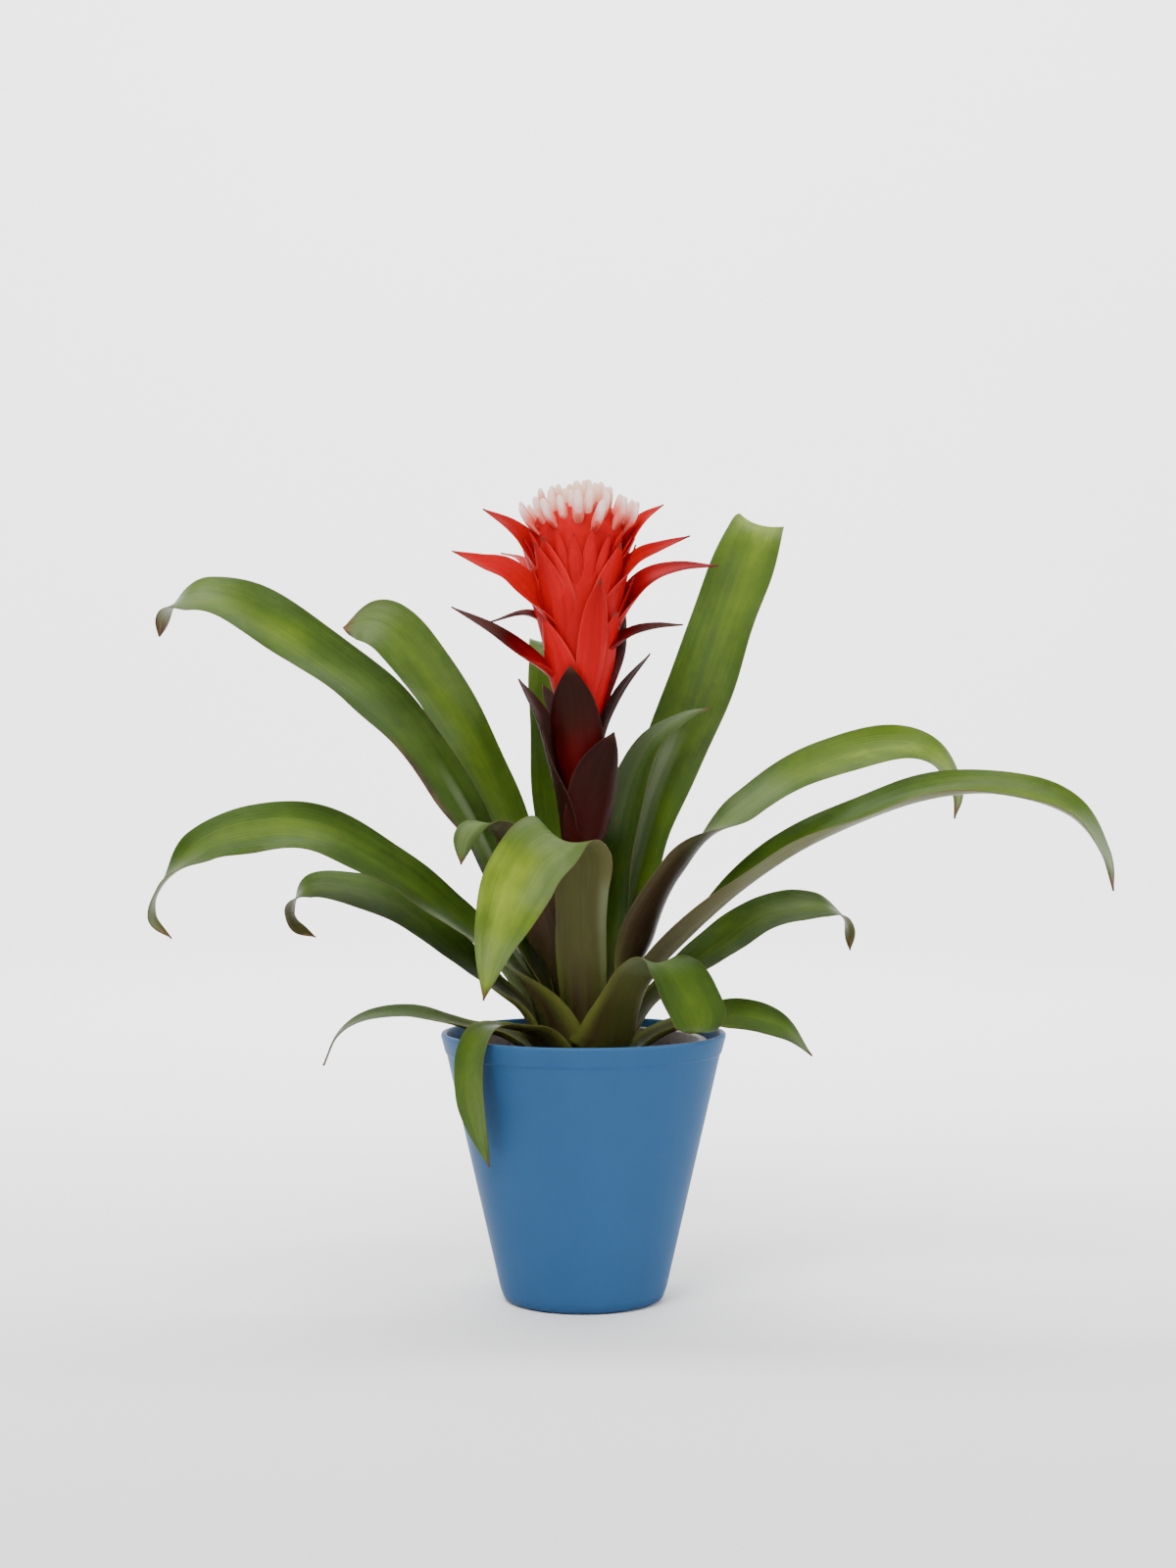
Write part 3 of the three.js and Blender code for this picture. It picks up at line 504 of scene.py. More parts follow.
def leaf_blade(leaf, thick, seed):
    """One leaf, whose sheath stands on the slope of the crown."""
    ring_radius = INNERMOST_RING + RING_PITCH * leaf["ring"]
    inside = ring_radius - 1.0
    foot = mix(SOIL_TOP, CROWN_TOP, (CROWN_RADIUS - inside) / (CROWN_RADIUS - SCAPE_RADIUS)) + SEAT_GAP
    taper_from, bluntness = leaf["taper"]
    sheath = leaf["sheath"]
    neck_width, neck_from, neck_reach = leaf.get("neck", NECK)
    sheath_half = ring_radius * math.radians(sheath)

    def half_width(t, length):
        past = np.maximum((t - taper_from) / (1 - taper_from), 0)
        neck = mix(neck_width, 1, smooth((t - neck_from) / neck_reach))
        free_half = np.maximum(leaf["width"] / 2 * neck * (1 - past**bluntness), THIN_EDGE)
        return mix(sheath_half, free_half, smooth(t * length / SHEATH_LENGTH))

    def half_angle(t, length):
        return mix(sheath, along(leaf["gutter"], t), smooth(t * length / SHEATH_LENGTH))

    def roll(t, length):
        return along(leaf["roll"], t) * smooth(t * length / SHEATH_LENGTH - 0.2)

    midrib = ((ring_radius, foot),) + leaf["midrib"]
    return blade(leaf["azimuth"], midrib, half_width, half_angle, roll, LEAF_GRID, thick, LEAF_RIPPLE, seed)


def bract_blade(azimuth, width, roll, midrib, seed, blunt=1.5):
    def half_width(t, length):
        past = np.maximum((t - BRACT_SHOULDER) / BRACT_TAPER, 0)
        shoulder = mix(0.6, 1, smooth(t / BRACT_SHOULDER))
        return np.maximum(width / 2 * shoulder * (1 - past**blunt), 0.25)

    def half_angle(t, length):
        return along(BRACT_GUTTER, t)

    def turn(t, length):
        return roll * smooth(t * 2 - 0.3)

    return blade(azimuth, midrib, half_width, half_angle, turn, BRACT_GRID, BRACT_THICKNESS, BRACT_RIPPLE, seed)


def core_blade(outline, streaks):
    """A turned core with the values that a blade has, so that it can share a blade's material."""
    closed = [(0, outline[0][1])] + list(outline) + [(0, outline[-1][1])]
    points, faces = turned(spread(closed, 4.0), CORE_SIDES)
    low, high = points[:, 2].min(), points[:, 2].max()
    around = np.arctan2(points[:, 1], points[:, 0]) / (2 * math.pi) + 0.5
    return {
        "points": points,
        "faces": faces,
        "across": 0.5 + 0.3 * np.abs(around * 2 - 1),
        "run": (points[:, 2] - low) * MM,
        "share": (points[:, 2] - low) / (high - low) * 0.9,
        "upper": np.zeros(len(points)),
        "seed": np.full(len(points), streaks),
    }


def body_radius(height):
    return mix(RED_FOOT_RADIUS, RED_TOP_RADIUS, np.sin(math.pi / 2 * (height - RED_FOOT) / (RED_TOP - RED_FOOT)))


def closed_midrib(foot, length, stand):
    """The midrib of a bract that lies close to the head, standing off it by the given lengths."""
    heights = [foot + length * share for share, off in stand]
    return [(float(body_radius(min(h, RED_TOP))) + off, h) for h, (share, off) in zip(heights, stand)]


def leant(points):
    """Leans what stands on the flower stem to one side, with the stem."""
    moved = points.copy()
    moved[:, 0] += STEM_LEAN * np.maximum(points[:, 2] - CROWN_TOP, 0)
    return moved


def patches(rows, across, t):
    """How strongly each point of a blade lies in its patches."""
    total = np.zeros(len(t))
    for middle, reach, start, stop, strength in rows:
        sideways = smooth(1.5 - np.abs(across - middle) / reach)
        lengthways = smooth((t - start) / PATCH_FADE), smooth((stop - t) / PATCH_FADE)
        total = np.maximum(total, strength * sideways * lengthways[0] * lengthways[1])
    return total


def leaf_looks(leaf, one):
    """Each point's maroon, lightness (partly painted light and shade), dryness, flush and painted sheen."""
    t, across = one["share"], one["across"]
    half = np.abs(across * 2 - 1)
    # The silver patches mark where a silvery painted highlight lies.
    gold, silver, flush = (patches(leaf.get(key, ()), across, t) for key in ("gold", "silver", "flush"))
    stripe = smooth(1 - np.abs(across - leaf.get("stripe", 0.5)) / STRIPE_REACH)
    return {
        "maroon": mix(*leaf["maroon"], smooth(t * 1.15)),
        # The tone rises from foot to tip: partly the leaf's own colour, partly painted shade low in the rosette and
        # painted light higher up.
        "tone": along(leaf["tone"], t) + 0.1 * stripe - 0.07 * half**3 + gold,
        "dry": np.clip(smooth((t - 0.955) / 0.04) + 0.5 * smooth((t - 0.9) / 0.08) * half**6, 0, 1),
        "silver": silver,
        "flush": flush,
    }


# ---------------------------------------------------------------------------------------------- meshes


def plain_mesh(name, points, faces, values=None, uv=None):
    """A mesh from millimetre points, with point values as attributes and a map named blade."""
    mesh = bpy.data.meshes.new(name)
    mesh.from_pydata((points * MM).tolist(), [], faces)
    for key, numbers in (values or {}).items():
        layer = mesh.attributes.new(key, "FLOAT", "POINT")
        layer.data.foreach_set("value", np.asarray(numbers, np.float32))
    if uv is not None:
        corners = np.zeros(len(mesh.loops), np.int32)
        mesh.loops.foreach_get("vertex_index", corners)
        layer = mesh.uv_layers.new(name="blade")
        layer.data.foreach_set("uv", np.asarray(uv, np.float32)[corners].ravel())
    mesh.shade_smooth()
    mesh.validate()
    mesh.update()
    return mesh


def blades_mesh(name, blades, looks):
    """One mesh of several blades, with the looks of each as point values."""
    faces, total = [], 0
    for one in blades:
        faces.extend(tuple(v + total for v in face) for face in one["faces"])
        total += len(one["points"])
    values = {key: np.concatenate([one[key] for one in blades]) for key in ("points", "across", "run", "upper", "seed")}
    uv = np.stack([values.pop("across"), values.pop("run") * 10], 1)
    points = values.pop("points")
    values.update((key, np.concatenate([look[key] for look in looks])) for key in looks[0])
    return plain_mesh(name, points, faces, values, uv)


def loose_piece(mesh):
    """Puts a mesh in the scene under its own name."""
    piece = bpy.data.objects.new(mesh.name, mesh)
    bpy.context.scene.collection.objects.link(piece)
    return piece


def place(mesh, slot, node, material=None):
    """Puts a finished mesh in the scene as the piece that stands for that node."""
    piece = loose_piece(mesh)
    if material:
        mesh.materials.clear()
        mesh.materials.append(material)
    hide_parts(node)
    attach(piece, "root")


def worked_out(piece, name):
    """The piece's mesh with its modifiers worked out, as a plain mesh. The piece itself goes."""
    bpy.context.view_layer.update()
    graph = bpy.context.evaluated_depsgraph_get()
    done = piece.evaluated_get(graph)
    mesh = bpy.data.meshes.new_from_object(done, preserve_all_data_layers=True, depsgraph=graph)
    mesh.name = name
    if not mesh.polygons:
        raise RuntimeError(name + " came out empty")
    bpy.data.objects.remove(piece)
    return mesh


def turned(outline, segments):
    """Points and faces turned about the upright axis from (radius, height) points, closed where they meet it."""
    points, faces, rows = [], [], []
    for radius, height in np.array(outline, float):
        count = 1 if radius < 1e-6 else segments
        rows.append(range(len(points), len(points) + count))
        for k in range(count):
            around = 2 * math.pi * k / segments
            points.append((radius * math.cos(around), radius * math.sin(around), height))
    for low, high in zip(rows, rows[1:]):
        for k in range(segments):
            n = (k + 1) % segments
            corners = low[k % len(low)], low[n % len(low)], high[n % len(high)], high[k % len(high)]
            face = tuple(dict.fromkeys(corners))
            if len(face) > 2:
                faces.append(face)
    return np.array(points), faces


def rounded(corners, radius, steps=6):
    """An outline whose inner corners are rounded."""
    corners = [np.array(c, float) for c in corners]
    result = [corners[0]]
    for before, corner, after in zip(corners, corners[1:], corners[2:]):
        back, ahead = before - corner, after - corner
        cut = min(radius, np.linalg.norm(back) * 0.45, np.linalg.norm(ahead) * 0.45)
        start = corner + back / np.linalg.norm(back) * cut
        stop = corner + ahead / np.linalg.norm(ahead) * cut
        for w in (k / steps for k in range(steps + 1)):
            result.append(start * (1 - w) ** 2 + corner * 2 * w * (1 - w) + stop * w**2)
    return result + [corners[-1]]


def spread(outline, longest):
    """The outline with more points on its long straight runs."""
    outline = [np.array(point, float) for point in outline]
    result = [outline[0]]
    for a, b in zip(outline, outline[1:]):
        count = max(1, int(math.ceil(np.linalg.norm(b - a) / longest)))
        result.extend(a + (b - a) * k / count for k in range(1, count + 1))
    return result


def grower_radius(height):
    """The outer radius of the grower's pot."""
    return mix(GROWER_FOOT, GROWER_RIM, (height - POT_FLOOR) / (GROWER_TOP - POT_FLOOR))


# ---------------------------------------------------------------------------------------------- nodes


class Nodes:
    """Short names for the nodes that the materials and the scattered pieces are built from."""

    def __init__(self, tree):
        self.tree = tree

    def add(self, kind, inputs=None, **settings):
        """Adds a node, sets its properties and gives its inputs a value or a link. Returns its outputs."""
        node = self.tree.nodes.new(kind)
        for key, value in settings.items():
            setattr(node, key, value)
        for key, value in (inputs or {}).items():
            if isinstance(value, bpy.types.NodeSocket):
                self.tree.links.new(value, node.inputs[key])
            else:
                node.inputs[key].default_value = value
        return node.outputs

    def math(self, operation, a, b=0.0, c=0.0, clamp=False):
        return self.add("ShaderNodeMath", {0: a, 1: b, 2: c}, operation=operation, use_clamp=clamp)[0]

    def times(self, first, *rest):
        return self.math("MULTIPLY", first, self.times(*rest)) if rest else first

    def step(self, value, low, high, to_low=0.0, to_high=1.0):
        inputs = {"Value": value, 1: low, 2: high, 3: to_low, 4: to_high}
        return self.add("ShaderNodeMapRange", inputs, interpolation_type="SMOOTHSTEP")[0]

    def mix(self, factor, a, b):
        return self.add("ShaderNodeMix", {0: factor, 6: a, 7: b}, data_type="RGBA")[2]

    def over(self, base, tint, *strengths):
        """Lays a colour over another, as strongly as the product of the strengths."""
        return self.mix(self.times(*strengths), base, tint)

    def attribute(self, name):
        return self.add("ShaderNodeAttribute", attribute_name=name)["Fac"]

    def object_place(self):
        return self.add("ShaderNodeTexCoord")["Object"]

    def noise(self, place, scale, detail=2.0, rough=0.5, distortion=0.0):
        inputs = {"Vector": place, "Scale": scale, "Detail": detail, "Roughness": rough, "Distortion": distortion}
        return self.add("ShaderNodeTexNoise", inputs)["Fac"]

    def join(self, x=0.0, y=0.0, z=0.0):
        return self.add("ShaderNodeCombineXYZ", {0: x, 1: y, 2: z})[0]

    def split(self, vector):
        return self.add("ShaderNodeSeparateXYZ", {0: vector})

    def ramp(self, value, stops):
        tone = self.add("ShaderNodeValToRGB", {"Fac": value})["Color"]
        elements = tone.node.color_ramp.elements
        for element, (at, shown) in ((elements[0], stops[0]), (elements[-1], stops[-1])):
            element.position = at
            element.color = shown
        for at, shown in stops[1:-1]:
            elements.new(at).color = shown
        return tone

    def bump(self, height, strength, distance, normal=None):
        inputs = {"Height": height, "Strength": strength, "Distance": distance}
        if normal is not None:
            inputs["Normal"] = normal
        return self.add("ShaderNodeBump", inputs)["Normal"]

    def finish(self, tone, rough=None, normal=None):
        """Links the colour, and the roughness and the normal if given, to the material's own shader."""
        shader = self.tree.nodes["Principled BSDF"]
        for key, value in (("Base Color", tone), ("Roughness", rough), ("Normal", normal)):
            if value is not None:
                self.tree.links.new(value, shader.inputs[key])


def new_material(name, **plain):
    """A material with a Principled shader, whose uniform values are set on its own sockets."""
    material = bpy.data.materials.new(name)
    material.use_nodes = True
    shader = material.node_tree.nodes["Principled BSDF"]
    for key, value in plain.items():
        shader.inputs[key.replace("_", " ").title().replace("Ior", "IOR")].default_value = value
    return material, Nodes(material.node_tree)


def streak_group():
    """Streaks that run along a blade: fine veins, broad pale and dark bands, and loose blotches."""
    name = "Blade streaks"
    if bpy.data.node_groups.get(name):
        return bpy.data.node_groups[name]
    tree = bpy.data.node_groups.new(name, "ShaderNodeTree")
    for key, default in (("Across", 0.5), ("Along", 0.0), ("Seed", 0.0), ("Veins", 34.0)):
        tree.interface.new_socket(key, in_out="INPUT", socket_type="NodeSocketFloat").default_value = default
    for key in ("Veins", "Bands", "Blotches"):
        tree.interface.new_socket(key, in_out="OUTPUT", socket_type="NodeSocketFloat")
    s = Nodes(tree)
    given = s.add("NodeGroupInput")
    across, run, seed, veins = (given[key] for key in ("Across", "Along", "Seed", "Veins"))
    fine = s.join(s.times(across, veins), s.times(run, 1.1), seed)
    broad = s.join(s.times(across, 5.0), s.times(run, 0.9), s.math("ADD", seed, 3.7))
    spots = s.join(s.times(across, 2.4), s.times(run, 5.0), s.math("ADD", seed, 1.9))
    results = {
        "Veins": s.noise(fine, 1.0, 2.0, 0.55),
        "Bands": s.noise(broad, 1.0, 2.0, 0.5, 0.4),
        "Blotches": s.noise(spots, 1.0, 4.0, 0.6),
    }
    s.add("NodeGroupOutput", results)
    return tree


def blade_inputs(s):
    """What every blade material reads: the streaks, how near the edge a point is, and how far along."""
    parts = s.split(s.add("ShaderNodeUVMap", uv_map="blade")["UV"])
    edge = s.math("ABSOLUTE", s.math("MULTIPLY_ADD", parts[0], 2.0, -1.0))
    inputs = {"Across": parts[0], "Along": parts[1], "Seed": s.attribute("seed")}
    streaks = s.add("ShaderNodeGroup", inputs, node_tree=streak_group())
    bands = s.step(streaks["Bands"], 0.34, 0.68)
    veins = s.step(streaks["Veins"], 0.36, 0.66)
    return streaks, bands, veins, edge, parts[1]


def leaf_material(settings):
    material, s = new_material("Bromeliad leaf", specular_ior_level=0.07)
    streaks, bands, veins, edge, run = blade_inputs(s)
    upper, tone, maroon, dry, flush = (s.attribute(key) for key in ("upper", "tone", "maroon", "dry", "flush"))
    blotches = s.step(streaks["Blotches"], 0.34, 0.68)
    ragged = s.step(streaks["Bands"], 0.3, 0.6, 0.5, 1.0)

    wander = s.math("ADD", s.times(bands, 0.07), s.times(blotches, 0.1))
    wander = s.math("ADD", wander, s.times(veins, 0.045))
    level = s.math("ADD", tone, s.math("SUBTRACT", wander, 0.1), clamp=True)
    middle = (0.5, tuple(settings.leaf_green) + (1,))
    green = s.ramp(level, LEAF_TONES[:2] + [middle] + LEAF_TONES[2:])
    green = s.over(green, s.mix(blotches, FLUSH_MAROON, FLUSH_BROWN), flush, ragged)

    under = s.mix(maroon, UNDER_OLIVE, UNDER_MAROON)
    under = s.over(under, UNDER_LINE, veins, 0.15)
    under = s.over(under, UNDER_DARK, bands, 0.22)
    under = s.over(under, UNDER_PALE, s.step(edge, 0.5, 0.95), 0.3)
    under = s.over(under, UNDER_SHADE, s.step(tone, 0.3, 0.44, 0.5, 0.0))

    face = s.mix(upper, under, green)
    # Painted sheen: a silvery painted highlight laid over the face in the leaf's silver patches.
    face = s.over(face, PAINTED_SHEEN_COLOUR, s.attribute("silver"), ragged)
    sheath = s.mix(s.step(streaks["Bands"], 0.26, 0.58), SHEATH_BROWN, SHEATH_OLIVE)
    sheath = s.over(sheath, SHEATH_GREEN, s.step(edge, 0.62, 0.96), 0.8)
    face = s.over(face, sheath, s.step(run, 0.15, 0.62, 0.78, 0.0))
    face = s.over(face, EDGE_STRAW, s.step(edge, 0.96, 0.995), 0.35)
    face = s.over(face, DRY_BROWN, s.step(streaks["Blotches"], 0.68, 0.75), 0.18)
    face = s.over(face, s.mix(bands, DRY_BROWN, DRY_PALE), dry)
    rough = s.math("ADD", s.step(streaks["Bands"], 0.3, 0.7, 0.36, 0.47), s.times(dry, 0.3))
    veined = s.bump(streaks["Veins"], 0.35, 0.0006)
    s.finish(face, rough, s.bump(streaks["Blotches"], 0.12, 0.0015, veined))
    return material


def bract_material():
    name = "Bromeliad bract"
    if bpy.data.materials.get(name):
        return bpy.data.materials[name]
    material, s = new_material(name, specular_ior_level=0.06)
    streaks, bands, veins, edge = blade_inputs(s)[:4]
    upper, redness, dry = (s.attribute(key) for key in ("upper", "redness", "dry"))
    bright = s.step(redness, 0.55, 0.95)
    dark = s.step(redness, 0.1, 0.35, 1.0, 0.0)
    warm = s.math("ADD", redness, s.times(s.math("SUBTRACT", streaks["Bands"], 0.5), 0.35), clamp=True)
    red = s.over(s.ramp(warm, BRACT_TONES), BRACT_PINK_AND_EDGE_HIGHLIGHT, veins, bright, 0.07)
    # Painted highlight: a pink line along the edges of the bright bracts.
    red = s.over(red, BRACT_PINK_AND_EDGE_HIGHLIGHT, s.step(edge, 0.84, 0.99), bright, 0.3)
    red = s.over(red, BRACT_OLIVE, dark, bands, 0.4)
    red = s.over(red, BRACT_BROWN, s.step(edge, 0.93, 0.99), dark, 0.6)
    red = s.over(red, BRACT_BROWN, dry)
    red = s.over(red, BRACT_INSIDE, upper, bright, 0.35)
    red = s.over(red, BRACT_MAUVE, upper, dark, 0.45)
    s.finish(red, s.step(streaks["Bands"], 0.3, 0.7, 0.36, 0.5), s.bump(streaks["Veins"], 0.3, 0.0005))
    return material


def tip_material():
    material, s = new_material("Pale flower tip", coat_weight=0.08, coat_roughness=0.3, specular_ior_level=0.3)
    rise, middle, seed, flank = (s.attribute(key) for key in ("rise", "middle", "seed", "flank"))
    place = s.object_place()
    blur = s.times(s.math("SUBTRACT", s.noise(place, 420.0), 0.5), 0.22)
    level = s.math("ADD", s.math("ADD", rise, blur), s.times(s.math("SUBTRACT", seed, 0.5), 0.16))
    # Painted shade: pink laid on the flanks of each tip to part the tips from one another.
    painted_flank_shade = s.step(flank, 0.25, 0.95), s.step(level, 0.5, 1.0, 1.0, 0.4)
    tone = s.over(s.ramp(level, TIP_TONES), TIP_FLANK_SHADE, *painted_flank_shade)
    tone = s.over(tone, TIP_CREAM, middle, 0.55)
    rough = s.step(s.noise(place, 900.0, 3.0), 0.3, 0.7, 0.34, 0.5)
    s.finish(tone, rough, s.bump(s.noise(place, 1400.0, 3.0), 0.12, 0.0004))
    return material


def glaze_material(settings):
    material, s = new_material("Blue pot glaze", specular_ior_level=0.04)
    place = s.object_place()
    parts = s.split(place)
    cloud = s.noise(s.join(parts[0], parts[1], s.times(parts[2], 0.35)), 14.0, 4.0, 0.55)
    base = tuple(settings.glaze) + (1,)
    tone = s.mix(s.step(cloud, 0.3, 0.7), tuple(0.9 * c for c in base[:3]) + (1,), base)
    tone = s.over(tone, GLAZE_LIGHT, s.step(s.noise(place, 700.0), 0.62, 0.78), 0.12)
    # Lighter glaze round the top of the rim.
    tone = s.over(tone, GLAZE_LIGHT, s.step(parts[2], *RIM_LIGHTER_BAND), 0.4)
    tone = s.over(tone, GLAZE_DEEP, s.step(parts[2], 0.0, 0.006, 0.35, 0.0))
    rings = s.bump(s.noise(s.join(z=parts[2]), 260.0), 0.08, 0.001)
    s.finish(tone, s.step(cloud, 0.3, 0.7, 0.4, 0.5), s.bump(s.noise(place, 260.0, 3.0), 0.06, 0.0012, rings))
    return material


def plastic_material():
    material, s = new_material("Grower pot plastic", specular_ior_level=0.4)
    place = s.object_place()
    cloud = s.noise(place, 60.0, 4.0)
    tone = s.mix(s.step(cloud, 0.3, 0.7), PLASTIC_GREY, PLASTIC_MAUVE)
    tone = s.over(tone, SOIL_DUST, s.step(s.noise(place, 180.0, 4.0), 0.55, 0.7), 0.4)
    s.finish(tone, s.step(cloud, 0.3, 0.7, 0.5, 0.68), s.bump(s.noise(place, 900.0), 0.1, 0.0005))
    return material


def soil_material(name, dark, light, grain):
    material, s = new_material(name, roughness=0.95)
    place = s.object_place()
    coarse = s.noise(place, grain, 5.0, 0.65)
    tone = s.mix(s.step(coarse, 0.35, 0.65), dark, light)
    tone = s.over(tone, SOIL_FLECK, s.step(s.noise(place, grain * 4, 3.0), 0.64, 0.72), 0.4)
    s.finish(tone, normal=s.bump(coarse, 0.7, 0.0025))
    return material


def stem_material():
    material, s = new_material("Bromeliad stem", coat_weight=0.1, coat_roughness=0.4)
    height = s.split(s.object_place())[2]
    rings = s.noise(s.join(z=height), 420.0)
    tone = s.mix(s.step(rings, 0.4, 0.6), SHEATH_BROWN, SHEATH_GREEN)
    tone = s.over(tone, UNDER_MAROON, s.step(height, 0.13, 0.2))
    s.finish(tone, s.step(rings, 0.3, 0.7, 0.5, 0.68), s.bump(rings, 0.4, 0.001))
    return material


def new_geometry_tree(name, values):
    """An empty tree with a geometry passing through and an input for each of the named values."""
    tree = bpy.data.node_groups.new(name, "GeometryNodeTree")
    for way in ("INPUT", "OUTPUT"):
        tree.interface.new_socket("Geometry", in_out=way, socket_type="NodeSocketGeometry")
    for key, value in values.items():
        kind = {int: "Int", float: "Float"}.get(type(value), "Material")
        socket = tree.interface.new_socket(key, in_out="INPUT", socket_type="NodeSocket" + kind)
        if kind != "Material":
            socket.default_value = value
    return Nodes(tree), tree.nodes.new("NodeGroupInput").outputs


def scatter(piece, tree, values):
    """Lets a tree work on the piece, with its inputs set by their sockets' identifiers."""
    modifier = piece.modifiers.new(tree.name, "NODES")
    modifier.node_group = tree
    sockets = {item.name: item.identifier for item in tree.interface.items_tree}
    for key, value in values.items():
        modifier[sockets[key]] = value


def tips_tree(values):
    """Pale tips on a spiral: each is a small pointed oval that leans out more the nearer it is to the rim."""
    n, given = new_geometry_tree("Pale tips", values)
    calc, times = n.math, n.times

    def chance(low, high, salt):
        seed = calc("ADD", given["Seed"], salt)
        return n.add("FunctionNodeRandomValue", {2: low, 3: high, "Seed": seed})[1]

    def store(geometry, name, value, domain="POINT"):
        inputs = {"Geometry": geometry, "Name": name, "Value": value}
        return n.add("GeometryNodeStoreNamedAttribute", inputs, domain=domain, data_type="FLOAT")[0]

    def share_at(index):
        return calc("SQRT", calc("DIVIDE", calc("ADD", index, 0.5), given["Count"]))

    index = n.add("GeometryNodeInputIndex")[0]
    share = share_at(index)
    angle = times(index, GOLDEN_ANGLE)
    reach = times(share, given["Dome radius"])
    fall = times(calc("POWER", share, 2.2), given["Drop"])
    half = times(given["Length"], 0.5)
    height = calc("SUBTRACT", calc("SUBTRACT", given["Top"], fall), half)
    height = calc("ADD", height, chance(-0.0026, 0.0006, 1))
    x = calc("ADD", times(reach, calc("COSINE", angle)), given["Shift"])
    spots = n.join(x, times(reach, calc("SINE", angle)), height)
    points = n.add("GeometryNodePoints", {"Count": given["Count"], "Position": spots})[0]
    tilt = calc("ADD", times(given["Lean"], share), chance(-0.1, 0.1, 2))
    yaw = calc("ADD", angle, chance(-0.25, 0.25, 3))
    rotation = n.join(chance(-0.12, 0.12, 4), tilt, yaw)

    ball = n.add("GeometryNodeMeshUVSphere", {"Segments": 14, "Rings": 16, "Radius": 1.0})["Mesh"]
    axes = n.split(n.add("GeometryNodeInputPosition")[0])
    rise = calc("MULTIPLY_ADD", axes[2], 0.5, 0.5)
    # flank marks the sides of each oval, which the tip material darkens to pink as painted shade.
    marked = store(store(ball, "rise", rise), "flank", calc("ABSOLUTE", axes[1]))
    flat = calc("MAXIMUM", calc("SUBTRACT", 1.0, times(axes[2], axes[2])), 0.03)
    slim = times(n.step(rise, 0.3, 0.58, 0.55, 1.0), calc("POWER", flat, -0.16))
    wide = times(times(given["Width"], 0.5), slim)
    bend = times(times(axes[2], axes[2]), given["Width"], -0.22)
    shape = n.join(calc("ADD", times(axes[0], wide, 0.8), bend), times(axes[1], wide), times(axes[2], half))
    oval = n.add("GeometryNodeSetPosition", {"Geometry": marked, "Position": shape})[0]
    oval = n.add("GeometryNodeSetShadeSmooth", {"Geometry": oval})[0]

    inputs = {"Points": points, "Instance": oval, "Rotation": rotation, "Scale": chance(0.84, 1.12, 6)}
    placed = n.add("GeometryNodeInstanceOnPoints", inputs)[0]
    inner = calc("SUBTRACT", 1.0, share_at(n.add("GeometryNodeInputIndex")[0]))
    placed = store(placed, "middle", inner, "INSTANCE")
    placed = store(placed, "seed", chance(0.0, 1.0, 8), "INSTANCE")
    whole = n.add("GeometryNodeRealizeInstances", {"Geometry": placed})[0]
    painted = n.add("GeometryNodeSetMaterial", {"Geometry": whole, "Material": given["Tip material"]})[0]
    n.add("NodeGroupOutput", {"Geometry": painted})
    return n.tree


def chip_tree(values):
    """Bark chips and crumbs over the faces that look up, above a given level."""
    n, given = new_geometry_tree("Bark chips", values)

    def above(vector, limit):
        inputs = {0: n.split(vector)[2], 1: limit}
        return n.add("FunctionNodeCompare", inputs, operation="GREATER_THAN")[0]

    def chance(low, high, seed):
        return n.add("FunctionNodeRandomValue", {0: low, 1: high, "Seed": seed}, data_type="FLOAT_VECTOR")[0]

    high = above(n.add("GeometryNodeInputPosition")[0], given["Level"])
    facing_up = above(n.add("GeometryNodeInputNormal")[0], 0.5)
    chosen = n.add("FunctionNodeBooleanMath", {0: high, 1: facing_up})[0]
    inputs = {"Mesh": given["Geometry"], "Selection": chosen, "Density": given["Density"], "Seed": 3}
    points = n.add("GeometryNodeDistributePointsOnFaces", inputs)[0]
    chip = n.add("GeometryNodeMeshIcoSphere", {"Radius": 1.0, "Subdivisions": 1})["Mesh"]
    turn = chance((-0.5, -0.5, 0.0), (0.5, 0.5, 6.28), 7)
    size = chance((0.0006, 0.0006, 0.0003), (0.0034, 0.0018, 0.0012), 11)
    inputs = {"Points": points, "Instance": chip, "Rotation": turn, "Scale": size}
    chips = n.add("GeometryNodeInstanceOnPoints", inputs)[0]
    real = n.add("GeometryNodeRealizeInstances", {"Geometry": chips})[0]
    painted = n.add("GeometryNodeSetMaterial", {"Geometry": real, "Material": given["Chip material"]})[0]
    joined = n.add("GeometryNodeJoinGeometry", {0: painted})[0]
    n.tree.links.new(given["Geometry"], joined.node.inputs[0])
    n.add("NodeGroupOutput", {"Geometry": joined})
    return n.tree


# ---------------------------------------------------------------------------------------------- settings


class GuzmaniaPotSettings(bpy.types.PropertyGroup):
    """Sizes and glaze of the cover pot"""

    rim_radius: bpy.props.FloatProperty(
        name="Rim radius", description="Outer radius at the pot's rim", default=0.070, unit="LENGTH"
    )
    foot_radius: bpy.props.FloatProperty(
        name="Foot radius", description="Outer radius at the pot's foot", default=0.0395, unit="LENGTH"
    )
    height: bpy.props.FloatProperty(
        name="Height", description="Height of the cover pot", default=0.131, unit="LENGTH"
    )
    wall: bpy.props.FloatProperty(name="Wall", description="Thickness of its wall", default=0.003, unit="LENGTH")
    glaze: bpy.props.FloatVectorProperty(
        name="Glaze", description="Colour of the glaze", size=3, subtype="COLOR", default=GLAZE_BLUE[:3]
    )


